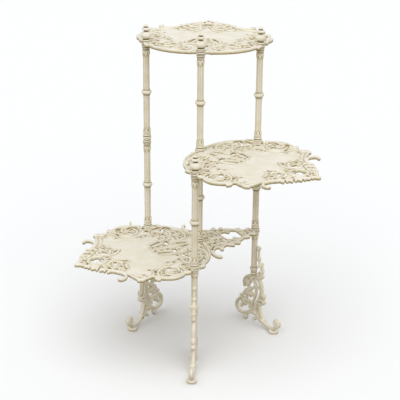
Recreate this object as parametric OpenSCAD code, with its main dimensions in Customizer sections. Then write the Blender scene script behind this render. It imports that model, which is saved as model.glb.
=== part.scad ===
// Tiered plant stand in painted cast iron, about 1 m tall: three pierced scrollwork
// shelves turn about a centre column and are clamped between turned column sections by
// steel tie rods. Millimetres, +Z up, floor at z = 0, front of the stand towards -Y.

/* [Layout] */
// Height of the bottom shelf above the floor
bottom_level = 329; // [300:1:380]
// Height from the bottom shelf to the middle one
lower_pitch = 301; // [250:1:360]
// Height from the middle shelf to the top one
upper_pitch = 307; // [250:1:360]
// Distance from the centre column to each outer column
column_spread = 200; // [185:1:220]
// Direction of the front leg, in degrees from +X
front_leg_turn = -90; // [-100:1:-80]
// Direction of the left leg, in degrees from +X
left_leg_turn = -117; // [-150:1:-105]
// Direction of the right leg, in degrees from +X
right_leg_turn = -45; // [-70:1:-25]

/* [Columns] */
// Width of a column shaft across its flats
shaft_d = 19.5; // [16:0.5:22]
// Diameter of the bead at the middle of each section
bead_d = 32; // [26:1:36]
// Height of that bead
bead_h = 17; // [12:1:24]
// Diameter of the foot ring of each section
foot_ring_d = 28; // [24:1:32]
// Diameter of the leaf capitals
capital_d = 24; // [22:0.5:27]
// Height of each leaf capital
capital_h = 20; // [14:1:28]
// Thickness of the plain rings at the ends of a section
ring_h = 4; // [3:0.5:6]
// Diameter of the plain round post above each leg
post_d = 20; // [16:0.5:21]

/* [Tie rods] */
// Diameter of the steel tie rods
rod_d = 8; // [6:0.5:10]
// Radial clearance of a rod in its bores
rod_clear = 0.3; // [0.2:0.05:0.5]
// Length of rod held in each leg and in each finial
rod_grip = 22; // [14:1:28]
// Width across flats of the nut under the centre column
nut_af = 13; // [11:0.5:17]
// Height of that nut
nut_h = 6.5; // [5:0.5:9]
// Diameter of its washer
washer_d = 22; // [18:1:28]
// Thickness of its washer
washer_t = 2; // [1.5:0.5:3]

/* [Shelves] */
// Diameter of the round lugs that the rods pass through
lug_d = 32; // [28:1:36]
// Height of a lug
lug_h = 14; // [12:1:18]
// Thickness of the pierced plate
plate_t = 4; // [3:0.5:6]
// Height of the raised rim and scrolls above the plate
relief_h = 2.6; // [1.5:0.1:4]
// Depth of the turned-down lip under the plate
lip_h = 3; // [1.5:0.5:5]
// Width of the raised rim
rim_w = 5; // [4:0.5:7]
// Gap between the stretcher and the bottom shelf beside it
lap_gap = 0.6; // [0.4:0.1:1.5]

/* [Legs] */
// Height of a leg casting up to the rim of its cup
leg_h = 202; // [190:1:230]
// Thickness of the scrolled web
web_t = 12; // [10:0.5:16]
// Diameter of the cup that holds the post
cup_d = 28; // [27:1:34]
// Depth of the cup
cup_depth = 8; // [5:1:12]
// Diameter of the round foot pads
pad_d = 32; // [26:1:40]
// Height of the foot pads
pad_h = 9; // [6:1:12]

/* [Finials] */
// Height of a finial
finial_h = 50; // [44:1:60]
// Diameter of its ball
ball_d = 32; // [27:1:36]
// Diameter of its saucer
saucer_d = 23; // [19:1:26]

/* [Hidden] */
cream = "#E6DFCE";
steel = "#9A958A";
flat_gap = 0.3;           // between parts that only lie beside each other
bevel = 1.1;              // step that rounds the edges of the castings
round_fn = 48;
spread_drawn = 200;       // column spread that the shelf pattern is drawn for
plan_scale = column_spread / spread_drawn;
bore_d = rod_d + 2 * rod_clear;
ring_gap = 0.8;           // groove between the stepped rings of a section
rings_h = 3 * ring_h + 3 * ring_gap;

// Directions of the outer columns and of the three shelves about the centre column
front_dir = -90;
right_dir = 30;
left_dir = 150;
bottom_dir = -150;
middle_dir = -30;
top_dir = 90;

middle_level = bottom_level + lower_pitch;
top_level = middle_level + upper_pitch;
lower_len = lower_pitch - lug_h;
upper_len = upper_pitch - lug_h;
post_base = leg_h - cup_depth + flat_gap;
post_len = bottom_level - lug_h / 2 - post_base;

// Half of the shelf's outline from its tip round to the centre column; the axis of
// symmetry is +X and the other half is its mirror image
shelf_edge = [
    [402, 0], [397, 13], [386, 22], [375, 40], [358, 54], [346, 70], [330, 84], [316, 98],
    [304, 114], [296, 132], [290, 152], [284, 170], [270, 181], [252, 179], [236, 174],
    [228, 184], [214, 199], [180, 212], [150, 204], [134, 190], [118, 183], [84, 178],
    [68, 166], [46, 149], [24, 126], [7, 97], [-4, 62], [-6, 30], [-3, 8]
];
// Strokes are lists of [x, y, half width]; these stand out of the outline
hook = [[334, 82, 5], [318, 98, 5.5], [306, 117, 5.5], [305, 136, 5], [314, 149, 4.5],
    [326, 152, 4.5], [331, 145, 5]];
shelf_tip = [[388, 6, 6], [399, 4, 6], [409, 0, 6]];
tip_leaves = [
    [[370, 26, 6], [383, 28, 6], [394, 23, 2]],
    [[352, 44, 7], [368, 50, 6.5], [384, 46, 2]],
    [[334, 62, 7], [350, 70, 6.5], [366, 68, 2]],
    [[318, 78, 7], [332, 88, 6], [346, 88, 2]],
    shelf_tip,
    [[262, 172, 8], [272, 178, 8], [281, 176, 6]],
    [[222, 182, 6], [229, 189, 7], [226, 197, 6]],
    [[140, 186, 6], [130, 192, 6], [124, 189, 5]],
    [[84, 168, 6], [73, 170, 6.5], [66, 166, 5]]
];
// Raised scrolls on the plate
shelf_scrolls = [
    [[46, 140, 4], [26, 112, 4], [18, 76, 4], [30, 42, 4], [54, 38, 3.5], [52, 56, 3]],
    [[108, 52, 3], [128, 50, 4.5], [152, 40, 2.5]],
    [[96, 78, 3.5], [82, 106, 4], [100, 132, 4], [112, 114, 3]],
    [[216, 184, 3.5], [212, 154, 4], [178, 136, 4], [150, 160, 4], [174, 188, 4],
        [186, 168, 3.5]],
    [[300, 96, 3], [278, 80, 4], [288, 50, 4], [306, 60, 3.5]],
    [[274, 18, 3], [290, 32, 4], [324, 28, 4], [330, 14, 3]],
    [[372, 4, 3], [344, 24, 4], [322, 56, 3]]
];
// Pierced slots: [x, y, length, width, turn]
shelf_holes = [
    [136, 36, 40, 8, -24], [124, 17, 13, 5, -30], [96, 36, 15, 8, 100], [66, 8, 30, 5, 16],
    [117, 84, 9, 6, 20], [136, 104, 8, 7, 0], [154, 106, 8, 6, 0], [232, 132, 7, 6, 0],
    [256, 154, 7, 6, 0], [176, 154, 24, 10, 55], [160, 174, 14, 5, -20], [198, 190, 18, 5, -25],
    [198, 160, 13, 5, 70], [66, 62, 13, 6, 60], [68, 102, 12, 6, 90], [38, 84, 13, 6, 75],
    [42, 114, 11, 6, 60], [98, 112, 12, 6, 60], [84, 142, 11, 6, 30], [120, 148, 11, 6, -40],
    [294, 70, 13, 6, 80], [314, 84, 12, 6, 40], [312, 46, 15, 6, 60], [268, 38, 14, 7, -30],
    [350, 50, 10, 5, 30], [304, 12, 12, 6, 0]
];
tip_window = [350, 0, 18, 30, 0];
tip_holes = [[326, 0, 8, 14, 0], [392, 0, 9, 6, 0]];

// Half of the stretcher's outline; it runs from the centre column towards -X
bridge_edge = [
    [-200, 10], [-188, 14], [-172, 19], [-158, 27], [-146, 34], [-134, 43], [-121, 50],
    [-106, 54], [-92, 58], [-80, 60], [-68, 62], [-56, 68], [-46, 74], [-36, 72], [-28, 69],
    [-18, 76], [-10, 86], [-4, 98], [12, 104]
];
bridge_leaves = [
    [[-13, 74, 6], [-4, 86, 6], [1, 100, 5.5], [2, 114, 5], [-2, 126, 5], [-9, 132, 5.5]],
    [[-44, 70, 7], [-40, 78, 6.5], [-38, 83, 6]],
    [[-72, 58, 7], [-80, 65, 6.5], [-85, 69, 6]],
    [[-98, 50, 7], [-104, 58, 6.5], [-108, 62, 6]],
    [[-142, 28, 6], [-152, 33, 6], [-158, 33, 5.5]],
    [[-174, 15, 6], [-181, 21, 5.5], [-187, 22, 5]]
];
bridge_scrolls = [
    [[-16, 18, 3], [-34, 26, 3.5], [-46, 42, 3.5], [-40, 56, 3.5], [-26, 54, 3]],
    [[-62, 8, 3], [-76, 20, 3.5], [-78, 38, 3.5], [-66, 48, 3]],
    [[-88, 48, 3], [-108, 42, 3.5], [-128, 34, 3.5], [-148, 22, 3.5], [-162, 8, 3]]
];
bridge_holes = [
    [-29, 7, 10, 6, 10], [-50, 15, 12, 6, 20], [-67, 17, 10, 6, 75], [-60, 34, 13, 7, 50],
    [-35, 39, 12, 7, 60], [-15, 42, 10, 6, 80], [-98, 42, 11, 5, 15], [-40, 62, 9, 6, 30],
    [-20, 62, 10, 6, 60], [-80, 50, 9, 5, 20], [-168, 7, 12, 5, 20], [-8, 78, 10, 5, 70]
];
// Half of the stretcher's large leaf-edged window
bridge_window = [
    [-84, 0], [-84, 10], [-87, 20], [-94, 27], [-103, 27], [-108, 20], [-113, 16], [-118, 20],
    [-123, 27], [-132, 29], [-139, 22], [-141, 10], [-141, 0]
];

// Strokes of a leg in its own plane: [along the foot, height, half width]; the first is
// the big C-scroll, from its upper curl down to the lower spiral
leg_strokes = [
    [[-41, 124, 4.5], [-43, 138, 5], [-38, 152, 5.5], [-27, 162, 6], [-11, 169, 6], [4, 172, 6],
        [18, 171, 6], [29, 165, 6], [36, 154, 6], [39, 143, 6], [40, 130, 6], [37, 113, 6],
        [30, 97, 6], [20, 80, 6], [4, 55, 6], [-12, 37, 6], [-31, 24, 6], [-53, 19, 6],
        [-69, 24, 6], [-77, 35, 6], [-76, 50, 5.5], [-66, 65, 5], [-53, 74, 4.5]],
    // arch and tail of the upper curl
    [[-17, 148, 4], [-6, 156, 5], [4, 155, 5], [11, 146, 5], [19, 138, 4.5], [34, 137, 4]],
    [[-28, 134, 6], [-23, 127, 5], [-15, 120, 5]],
    // pointed loop in the middle
    [[4, 133, 4.5], [-6, 125, 5], [-16, 115, 5.5], [-27, 107, 6]],
    [[4, 133, 4.5], [12, 128, 4.5], [14, 114, 4.5], [9, 98, 4.5], [2, 80, 4.5], [-4, 66, 4.5],
        [-6, 51, 4]],
    // leaf cluster on the inner side
    [[-21, 105, 5], [-10, 106, 5.5], [-2, 104, 5], [1, 100, 3]],
    [[-19, 102, 5], [-13, 96, 5], [-11, 91, 3]],
    [[-59, 82, 5], [-50, 87, 4.5], [-41, 97, 5.5], [-35, 108, 5.5], [-31, 112, 3]],
    [[-51, 84, 4], [-38, 93, 5], [-24, 104, 6]],
    [[-23, 101, 4], [-29, 88, 4], [-36, 74, 4.5]],
    [[-50, 74, 4.5], [-36, 74, 5], [-23, 74, 5.5], [-14, 72, 4]],
    // inside the lower spiral
    [[-50, 74, 4.5], [-40, 67, 5], [-33, 60, 5], [-36, 51, 3]],
    [[-33, 60, 4], [-21, 64, 4.5], [-13, 60, 4.5], [-15, 51, 4.5]],
    [[-62, 65, 4], [-53, 61, 4.5], [-48, 52, 5], [-52, 45, 5]],
    // leaf lobes on the outer edge
    [[39, 115, 5], [50, 119, 6], [54, 111, 5]],
    [[35, 95, 5], [47, 99, 6], [55, 94, 6]],
    [[55, 94, 5], [45, 85, 5], [30, 81, 5]],
    // two branches of the stem down to the foot
    [[21, 68, 5], [17, 55, 6], [15, 43, 7], [22, 33, 7], [33, 26, 7], [46, 20, 7]],
    [[30, 74, 5], [34, 59, 6], [39, 45, 6], [46, 32, 7], [51, 23, 7.5], [59, 17, 7], [74, 13, 6.5],
        [91, 12, 6.5], [106, 18, 6.5], [119, 28, 6]],
    // small volutes under the scroll
    [[5, 52, 5], [0, 40, 5], [-14, 32, 5], [-28, 26, 6], [-37, 18, 6]],
    [[-6, 36, 4.5], [5, 36, 5], [15, 39, 6]],
    [[22, 27, 4], [14, 18, 4.5], [6, 15, 5]],
    // spray of leaves and beads beside the post
    [[20, 175, 5], [34, 177, 6], [45, 185, 4]],
    [[32, 177, 5], [42, 191, 5.5], [43, 205, 5.5], [40, 217, 6], [34, 226, 6], [27, 220, 4.5]],
    [[38, 219, 4], [33, 229, 5], [25, 236, 6], [23, 247, 7], [21, 260, 4], [20, 275, 5],
        [20, 284, 6]]
];
foot_volute = [116, 41, 16];
leg_balls = [foot_volute, [-24, 144, 13], [-33, 13, 11], [-55, 43, 6.5], [24, 186, 8], [15, 43, 9],
    [23, 247, 8.5], [20, 284, 7.5]];
// Leaf collars that swell out of the web: [along the foot, height, width, radius]
leg_collars = [[15, 43, 23, 9], [49, 23, 20, 9.5]];
pad_reach = 100;          // pad centre from the post, on the drawn leg
cup_drawn = 206;          // rim of the cup above the floor, on the drawn leg
leg_scale = leg_h / cup_drawn;

// Smooth curve through points p, with n steps to each span
function at(p, i) = p[min(max(i, 0), len(p) - 1)];
function blend(a, b, c, d, t) = 0.5 * (2 * b + (c - a) * t
    + (2 * a - 5 * b + 4 * c - d) * t * t + (3 * b - a - 3 * c + d) * t * t * t);
function smooth(p, n) = [
    for (i = [0:len(p) - 2], k = [0:n - 1])
        blend(at(p, i - 1), p[i], p[i + 1], at(p, i + 2), k / n),
    p[len(p) - 1]
];
function flipped(p) = [for (i = [len(p) - 1:-1:0]) [p[i][0], -p[i][1]]];
function unit(v) = v / max(norm(v), 0.001);
// Unit normal of a path at its point i
function side(s, i) = let (d = unit([at(s, i + 1)[0] - at(s, i - 1)[0], at(s, i + 1)[1] - at(s, i - 1)[1]]))
    [-d[1], d[0]];
function turned(p, a) = [p[0] * cos(a) - p[1] * sin(a), p[0] * sin(a) + p[1] * cos(a)];
function arc(x, y, rx, ry, a, b, n) =
    [for (i = [0:n]) let (t = a + (b - a) * i / n) [x + rx * cos(t), y + ry * sin(t)]];

// The middle of the footprint is the origin, so the centre column stands off it: the
// tip of the top shelf is the rearmost point and the front leg's volute the foremost
tip_end = shelf_tip[len(shelf_tip) - 1];
rear_y = (tip_end[0] + tip_end[2]) * plan_scale;
front_y = column_spread + (foot_volute[0] + foot_volute[2]) * leg_scale;
centre_y = (front_y - rear_y) / 2;

// Flat shapes

// One tapering stroke with round ends
module stroke(points) {
    s = smooth(points, 2);
    last = len(s) - 1;
    for (i = [0:last - 1]) {
        a = side(s, i) * s[i][2];
        b = side(s, i + 1) * s[i + 1][2];
        p = [s[i][0], s[i][1]];
        q = [s[i + 1][0], s[i + 1][1]];
        polygon([p - a, q - b, q + b, p + a]);
    }
    for (i = [0, last]) translate([s[i][0], s[i][1]]) circle(s[i][2], $fn = 8);
}

// Eight-sided slot with its corners cut off
module slot(h) {
    x = h[2] / 2;
    y = h[3] / 2;
    cut = y * 0.6;
    translate([h[0], h[1]]) rotate(h[4]) polygon([[x, y - cut], [x - cut, y], [cut - x, y],
        [-x, y - cut], [-x, cut - y], [cut - x, -y], [x - cut, -y], [x, cut - y]]);
}

module both_halves() {
    children();
    mirror([0, 1]) children();
}

// Places a shape at the three lug centres of a shelf
module at_lugs() {
    for (a = [-60, 60]) translate(turned([column_spread, 0], a)) children();
    children();
}

module shelf_outline() {
    scale(plan_scale) {
        edge = smooth(shelf_edge, 2);
        polygon(concat(edge, flipped(edge)));
        both_halves() {
            stroke(hook);
            for (s = tip_leaves) stroke(s);
        }
    }
    at_lugs() circle(d = lug_d + 2, $fn = 32);
}

module shelf_piercing(grow = 0) {
    scale(plan_scale) offset(delta = grow) {
        both_halves() for (h = shelf_holes) slot(h);
        square_window(tip_window);
        for (h = tip_holes) square_window(h);
    }
}

module square_window(h) {
    translate([h[0], h[1]]) square([h[2], h[3]], center = true);
}

module rim_ring() {
    difference() {
        children();
        offset(delta = -rim_w) children();
    }
}

module shelf_relief() {
    difference() {
        intersection() {
            offset(delta = 1 - rim_w) shelf_outline();
            scale(plan_scale) both_halves() for (s = shelf_scrolls) stroke(s);
        }
        shelf_piercing(0.5);
    }
}

module bridge_outline() {
    scale(plan_scale) {
        edge = smooth(bridge_edge, 2);
        polygon(concat(edge, flipped(edge)));
        both_halves() for (s = bridge_leaves) stroke(s);
    }
    translate([-column_spread, 0]) circle(d = lug_d + 2, $fn = 32);
}

module bridge_piercing(grow = 0) {
    scale(plan_scale) offset(delta = grow) {
        both_halves() for (h = bridge_holes) slot(h);
        half = smooth(bridge_window, 2);
        polygon(concat(half, flipped(half)));
    }
}

// The stretcher's outline, cut back beside the bottom shelf
module bridge_body() {
    difference() {
        bridge_outline();
        offset(delta = lap_gap) shelf_outline();
    }
}

module bridge_relief() {
    difference() {
        intersection() {
            offset(delta = 1 - rim_w) bridge_body();
            scale(plan_scale) both_halves() for (s = bridge_scrolls) stroke(s);
        }
        bridge_piercing(0.5);
    }
}

// The leg's silhouette: x along the foot, y up
module leg_outline() {
    difference() {
        scale(leg_scale) {
            for (s = leg_strokes) stroke(s);
            for (b = leg_balls) translate([b[0], b[1]]) circle(b[2], $fn = 20);
        }
        // keeps clear of the post and stays above the floor
        translate([-post_d / 2 - flat_gap, leg_h - cup_depth])
            square([post_d + 2 * flat_gap, leg_h]);
        translate([-leg_h, -leg_h]) square([2 * leg_h, leg_h + 1]);
    }
}

// Solids

module lug(low, high) {
    translate([0, 0, low]) cylinder(d = lug_d, h = high - low, $fn = round_fn);
}

module bore(low, high) {
    translate([0, 0, low - 1]) cylinder(d = bore_d, h = high - low + 2, $fn = round_fn);
}

// The rim, plate and raised scrolls of a casting: the flat shapes are its outline, its
// piercing and its scrolls, in that order
module cast_plate() {
    lift(-plate_t / 2 - lip_h) linear_extrude(lip_h + plate_t + relief_h)
        offset(delta = 0.01) rim_ring() children(0);
    lift(-plate_t / 2) linear_extrude(plate_t) offset(delta = 0.01) difference() {
        offset(delta = -rim_w / 3) children(0);
        children(1);
    }
    linear_extrude(plate_t / 2 + relief_h - 0.6) offset(delta = 0.01) children(2);
}

// A shelf casting with its axis along +X and its centre lug at the origin; a half lap
// leaves the lower half of the centre lug to the stretcher
module shelf(half_lap = false) {
    difference() {
        union() {
            cast_plate() {
                shelf_outline();
                shelf_piercing();
                shelf_relief();
            }
            at_lugs() lug(-lug_h / 2, lug_h / 2);
        }
        at_lugs() bore(-lug_h / 2, lug_h / 2);
        if (half_lap) lift(-lug_h) cylinder(d = lug_d + 2 * lap_gap + 2, h = lug_h, $fn = round_fn);
    }
}

module stretcher_casting() {
    tongue = [36, 18, (lug_h - flat_gap) / 2];
    difference() {
        union() {
            cast_plate() {
                bridge_body();
                bridge_piercing();
                bridge_relief();
            }
            lug(-lug_h / 2, -flat_gap / 2);
            translate([-tongue[0] - lug_d / 4, -tongue[1] / 2, -lug_h / 2]) cube(tongue);
            translate([-column_spread, 0, 0]) lug(-lug_h / 2, lug_h / 2);
        }
        bore(-lug_h / 2, lug_h / 2);
        translate([-column_spread, 0, 0]) bore(-lug_h / 2, lug_h / 2);
    }
}

// Ring of leaves: three stacked stars of eight lobes that open upwards
module leaves(h, low_d, high_d) {
    steps = 3;
    flare = 1.6;
    least_dip = 0.7;
    more_dip = 0.3;
    for (k = [0:steps - 1]) {
        r = (low_d + (high_d - low_d) * pow((k + 1) / steps, flare)) / 2;
        dip = least_dip + more_dip * k;
        translate([0, 0, h * k / steps]) linear_extrude(h / steps)
            polygon([for (a = [0:22.5:337.5]) turned([r - dip * (1 - abs(cos(4 * a))), 0], a)]);
    }
}

// Three rings that step outwards up to a shelf lug, with grooves between them
module stepped_rings() {
    groove_r = shaft_d / 2 + 0.6;
    step = 1.3;
    pitch = ring_h + ring_gap;
    top_r = capital_d / 2 + 1;
    rotate_extrude($fn = round_fn) polygon(concat([[0, 0]], [for (i = [0:2])
        let (r = top_r - step * (2 - i), z = pitch * i)
            each [[r, z], [r, z + ring_h], [groove_r, z + ring_h], [groove_r, z + pitch]]],
        [[0, rings_h]]));
}

// Column section, foot at z = 0: foot ring, leaves, eight-sided shaft, bead, shaft and
// stepped rings
module section(len) {
    shaft_low = ring_h * 2;
    shaft_high = len - rings_h;
    difference() {
        union() {
            cylinder(d1 = foot_ring_d, d2 = foot_ring_d - 2, h = ring_h, $fn = round_fn);
            translate([0, 0, ring_h]) cylinder(d1 = foot_ring_d - 2, d2 = capital_d - 2,
                h = ring_h, $fn = round_fn);
            translate([0, 0, shaft_low]) leaves(capital_h, capital_d - 1, capital_d);
            translate([0, 0, shaft_low]) rotate(22.5)
                cylinder(r = shaft_d / 2 / cos(22.5), h = shaft_high - shaft_low, $fn = 8);
            translate([0, 0, len / 2]) middle_bead();
            translate([0, 0, shaft_high]) stepped_rings();
        }
        translate([0, 0, -1]) cylinder(d = bore_d, h = len + 2, $fn = round_fn);
    }
}

// The turned bead half way up a section, centred on z = 0
module middle_bead() {
    half = bead_h / 2;
    core = shaft_d / 2 + 1.2;
    rotate_extrude($fn = round_fn) polygon([
        [0, -half], [core, -half], [core + 0.8, -half + 2], [bead_d / 2 - 2.2, -3],
        [bead_d / 2, -1.6], [bead_d / 2, 1.6], [bead_d / 2 - 2.2, 3],
        [core + 0.8, half - 2], [core, half], [0, half]
    ]);
}

// Plain post between a leg's cup and the bottom level
module post() {
    difference() {
        union() {
            cylinder(d = post_d, h = post_len, $fn = round_fn);
            translate([0, 0, post_len - ring_h - capital_h * 0.7])
                leaves(capital_h * 0.7, post_d + 0.5, capital_d);
            translate([0, 0, post_len - ring_h]) cylinder(d = capital_d + 1, h = ring_h, $fn = round_fn);
        }
        translate([0, 0, -1]) cylinder(d = bore_d, h = post_len + 2, $fn = round_fn);
    }
}

// Collar that takes the place of a shelf lug where the left column has no shelf
module collar() {
    h = lug_h;
    difference() {
        rotate_extrude($fn = round_fn) polygon([
            [0, 0], [capital_d / 2, 0], [capital_d / 2 + 1, h * 0.2], [shaft_d / 2 + 1, h * 0.4],
            [shaft_d / 2 + 1, h * 0.55], [foot_ring_d / 2 - 0.5, h * 0.75],
            [foot_ring_d / 2 - 0.5, h], [0, h]
        ]);
        translate([0, 0, -1]) cylinder(d = bore_d, h = h + 2, $fn = round_fn);
    }
}

module finial() {
    ball_h = ball_d * 0.72;
    flange_r = foot_ring_d / 2 - 1;
    seat_r = flange_r - 4;
    neck_r = ball_d / 2 - 10;
    flange = 5;
    ball_mid = flange + 2 + ball_h / 2;
    neck = flange + 2 + ball_h;
    disc = finial_h - 13;
    saucer_r = saucer_d / 2;
    button_r = saucer_d * 0.31;
    button_h = 4;
    difference() {
        rotate_extrude($fn = round_fn) polygon(concat(
            [[0, 0], [flange_r, 0], [flange_r, flange - 2], [seat_r + 1, flange], [seat_r, flange + 1]],
            arc(0, ball_mid, ball_d / 2, ball_h / 2, -acos(2 * seat_r / ball_d),
                acos(2 * neck_r / ball_d), 12),
            [[neck_r, neck + 0.5], [neck_r, neck + 2], [saucer_r - 1, disc], [saucer_r, disc + 1],
                [saucer_r, disc + 2.5], [saucer_r - 2, disc + 4], [button_r - 2, disc + 5.5]],
            arc(0, finial_h - button_h, button_r, button_h, -45, 90, 8)
        ));
        translate([0, 0, -1]) cylinder(d = rod_d + 0.2, h = rod_grip + 1 + flat_gap, $fn = round_fn);
    }
}

// Leg casting with its foot along +X and the post's axis at the origin
module leg() {
    half = web_t / 2;
    edge = 1.6;
    seat = leg_h - cup_depth;
    difference() {
        union() {
            rotate([90, 0, 0]) {
                lift(edge - half) linear_extrude(web_t - 2 * edge) offset(delta = 0.01) leg_outline();
                lift(-half) linear_extrude(web_t) offset(delta = -bevel) leg_outline();
                for (c = leg_collars) translate([c[0], c[1], 0] * leg_scale) leg_collar(c[2], c[3]);
            }
            cup();
            translate([pad_reach * leg_scale, 0, 0]) pad();
        }
        translate([0, 0, seat]) cylinder(d = post_d + 2 * flat_gap, h = leg_h, $fn = round_fn);
        translate([0, 0, seat - rod_grip - flat_gap]) cylinder(d = rod_d + 0.2, h = leg_h,
            $fn = round_fn);
    }
}

// Barrel across the web, w wide
module leg_collar(w, r) {
    rotate_extrude($fn = 24) polygon([
        [0, -w / 2], [r * 0.6, -w / 2], [r, -w / 4], [r, w / 4], [r * 0.6, w / 2], [0, w / 2]
    ]);
}

// Cup and neck ring at the top of a leg; they stand in the top of the big C-scroll
module cup() {
    low = leg_strokes[0][5][1] * leg_scale - 8;
    rim_r = cup_d / 2;
    neck_r = rim_r - 3;
    ring_top = leg_h - cup_depth * 2;
    ring_low = ring_top - 9;
    rotate_extrude($fn = round_fn) polygon([
        [0, low], [rim_r - 8, low], [neck_r - 1.5, ring_low - 1], [neck_r, ring_low], [neck_r, ring_top - 1],
        [neck_r - 1, ring_top], [neck_r - 1, ring_top + 1.5], [rim_r - 1.5, leg_h - 7],
        [rim_r, leg_h - 5], [rim_r, leg_h - 1.5], [rim_r - 1, leg_h], [0, leg_h]
    ]);
}

// Round foot pad with a groove round its edge
module pad() {
    r = pad_d / 2;
    rotate_extrude($fn = round_fn) polygon([
        [0, 0], [r - 1, 0], [r, 1], [r, pad_h * 0.4], [r - 1.2, pad_h * 0.5], [r - 0.4, pad_h * 0.62],
        [r - 1.6, pad_h * 0.85], [r * 0.55, pad_h], [0, pad_h]
    ]);
}

module tie_rod(low, high) {
    translate([0, 0, low]) cylinder(d = rod_d, h = high - low, $fn = round_fn);
}

// Places

module at_centre() { translate([0, centre_y, 0]) children(); }
module at_column(dir) { at_centre() translate(turned([column_spread, 0], dir)) children(); }
module lift(z) { translate([0, 0, z]) children(); }

rod_low = leg_h - cup_depth - rod_grip;
front_top = middle_level + lug_h / 2;
main_top = top_level + lug_h / 2;
under_centre = bottom_level - lug_h / 2;

module bottom_shelf() color(cream) at_centre() lift(bottom_level) rotate(bottom_dir) shelf(true);
module middle_shelf() color(cream) at_centre() lift(middle_level) rotate(middle_dir) shelf();
module top_shelf() color(cream) at_centre() lift(top_level) rotate(top_dir) shelf();
module stretcher() color(cream) at_centre() lift(bottom_level) rotate(bottom_dir) stretcher_casting();
module front_leg() color(cream) at_column(front_dir) rotate(front_leg_turn) leg();
module left_leg() color(cream) at_column(left_dir) rotate(left_leg_turn) leg();
module right_leg() color(cream) at_column(right_dir) rotate(right_leg_turn) leg();
module front_post() color(cream) at_column(front_dir) lift(post_base) post();
module left_post() color(cream) at_column(left_dir) lift(post_base) post();
module right_post() color(cream) at_column(right_dir) lift(post_base) post();
module front_section() color(cream) at_column(front_dir) lift(bottom_level + lug_h / 2) section(lower_len);
module left_lower_section() color(cream) at_column(left_dir) lift(bottom_level + lug_h / 2) section(lower_len);
module left_upper_section() color(cream) at_column(left_dir) lift(middle_level + lug_h / 2) section(upper_len);
module centre_lower_section() color(cream) at_centre() lift(bottom_level + lug_h / 2) section(lower_len);
module centre_upper_section() color(cream) at_centre() lift(middle_level + lug_h / 2) section(upper_len);
module right_lower_section() color(cream) at_column(right_dir) lift(bottom_level + lug_h / 2) section(lower_len);
module right_upper_section() color(cream) at_column(right_dir) lift(middle_level + lug_h / 2) section(upper_len);
module left_collar() color(cream) at_column(left_dir) lift(middle_level - lug_h / 2) collar();
module front_finial() color(cream) at_column(front_dir) lift(front_top) finial();
module left_finial() color(cream) at_column(left_dir) lift(main_top) finial();
module centre_finial() color(cream) at_centre() lift(main_top) finial();
module right_finial() color(cream) at_column(right_dir) lift(main_top) finial();
module front_rod() color(steel) at_column(front_dir) tie_rod(rod_low, front_top + rod_grip);
module left_rod() color(steel) at_column(left_dir) tie_rod(rod_low, main_top + rod_grip);
module right_rod() color(steel) at_column(right_dir) tie_rod(rod_low, main_top + rod_grip);
module centre_rod() color(steel) at_centre()
    tie_rod(under_centre - washer_t - nut_h - 3, main_top + rod_grip);
module centre_washer() color(steel) at_centre() lift(under_centre - washer_t) difference() {
    cylinder(d = washer_d, h = washer_t, $fn = round_fn);
    bore(0, washer_t);
}
module centre_nut() color(steel) at_centre() lift(under_centre - washer_t - nut_h) difference() {
    cylinder(d = nut_af / cos(30), h = nut_h, $fn = 6);
    translate([0, 0, -1]) cylinder(d = rod_d + 0.2, h = nut_h + 2, $fn = round_fn);
}

bottom_shelf();
middle_shelf();
top_shelf();
stretcher();
front_leg();
left_leg();
right_leg();
front_post();
left_post();
right_post();
front_section();
left_lower_section();
left_upper_section();
centre_lower_section();
centre_upper_section();
right_lower_section();
right_upper_section();
left_collar();
front_finial();
left_finial();
centre_finial();
right_finial();
front_rod();
left_rod();
centre_rod();
right_rod();
centre_washer();
centre_nut();
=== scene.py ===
"""Tiered plant stand in painted cast iron: the looks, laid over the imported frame.

Shapes are worked out in millimetres and turned to metres when they become a mesh. A flat
casting is a depth field on a square grid (how far each point lies inside the metal) that is
cut along its zero line and given an upper and a lower height; a column piece is a profile
turned round its axis, with leaves raised on it.
"""

import logging
import math
from collections.abc import Callable, Sequence
from dataclasses import dataclass, field
from enum import Enum
from functools import partial

import bpy
import numpy as np
from mathutils import Matrix, Vector


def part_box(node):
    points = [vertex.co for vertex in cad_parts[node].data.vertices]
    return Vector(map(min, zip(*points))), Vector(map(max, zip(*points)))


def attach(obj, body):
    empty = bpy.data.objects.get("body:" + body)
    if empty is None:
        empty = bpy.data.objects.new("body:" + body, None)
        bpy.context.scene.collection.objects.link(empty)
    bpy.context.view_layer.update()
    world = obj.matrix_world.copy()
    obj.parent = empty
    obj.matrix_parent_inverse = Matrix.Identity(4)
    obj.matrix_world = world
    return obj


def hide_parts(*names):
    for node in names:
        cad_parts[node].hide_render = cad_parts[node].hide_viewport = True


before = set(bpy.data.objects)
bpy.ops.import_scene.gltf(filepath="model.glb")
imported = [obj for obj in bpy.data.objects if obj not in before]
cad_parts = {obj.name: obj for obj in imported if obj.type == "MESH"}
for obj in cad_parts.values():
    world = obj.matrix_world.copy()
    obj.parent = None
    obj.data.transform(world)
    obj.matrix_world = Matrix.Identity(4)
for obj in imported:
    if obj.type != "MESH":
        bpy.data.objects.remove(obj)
log = logging.getLogger("plant_stand")

MM = 0.001
Array = np.ndarray
Stroke = Sequence[tuple[float, float, float]]
Hole = tuple[float, float, float, float, float]

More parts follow.
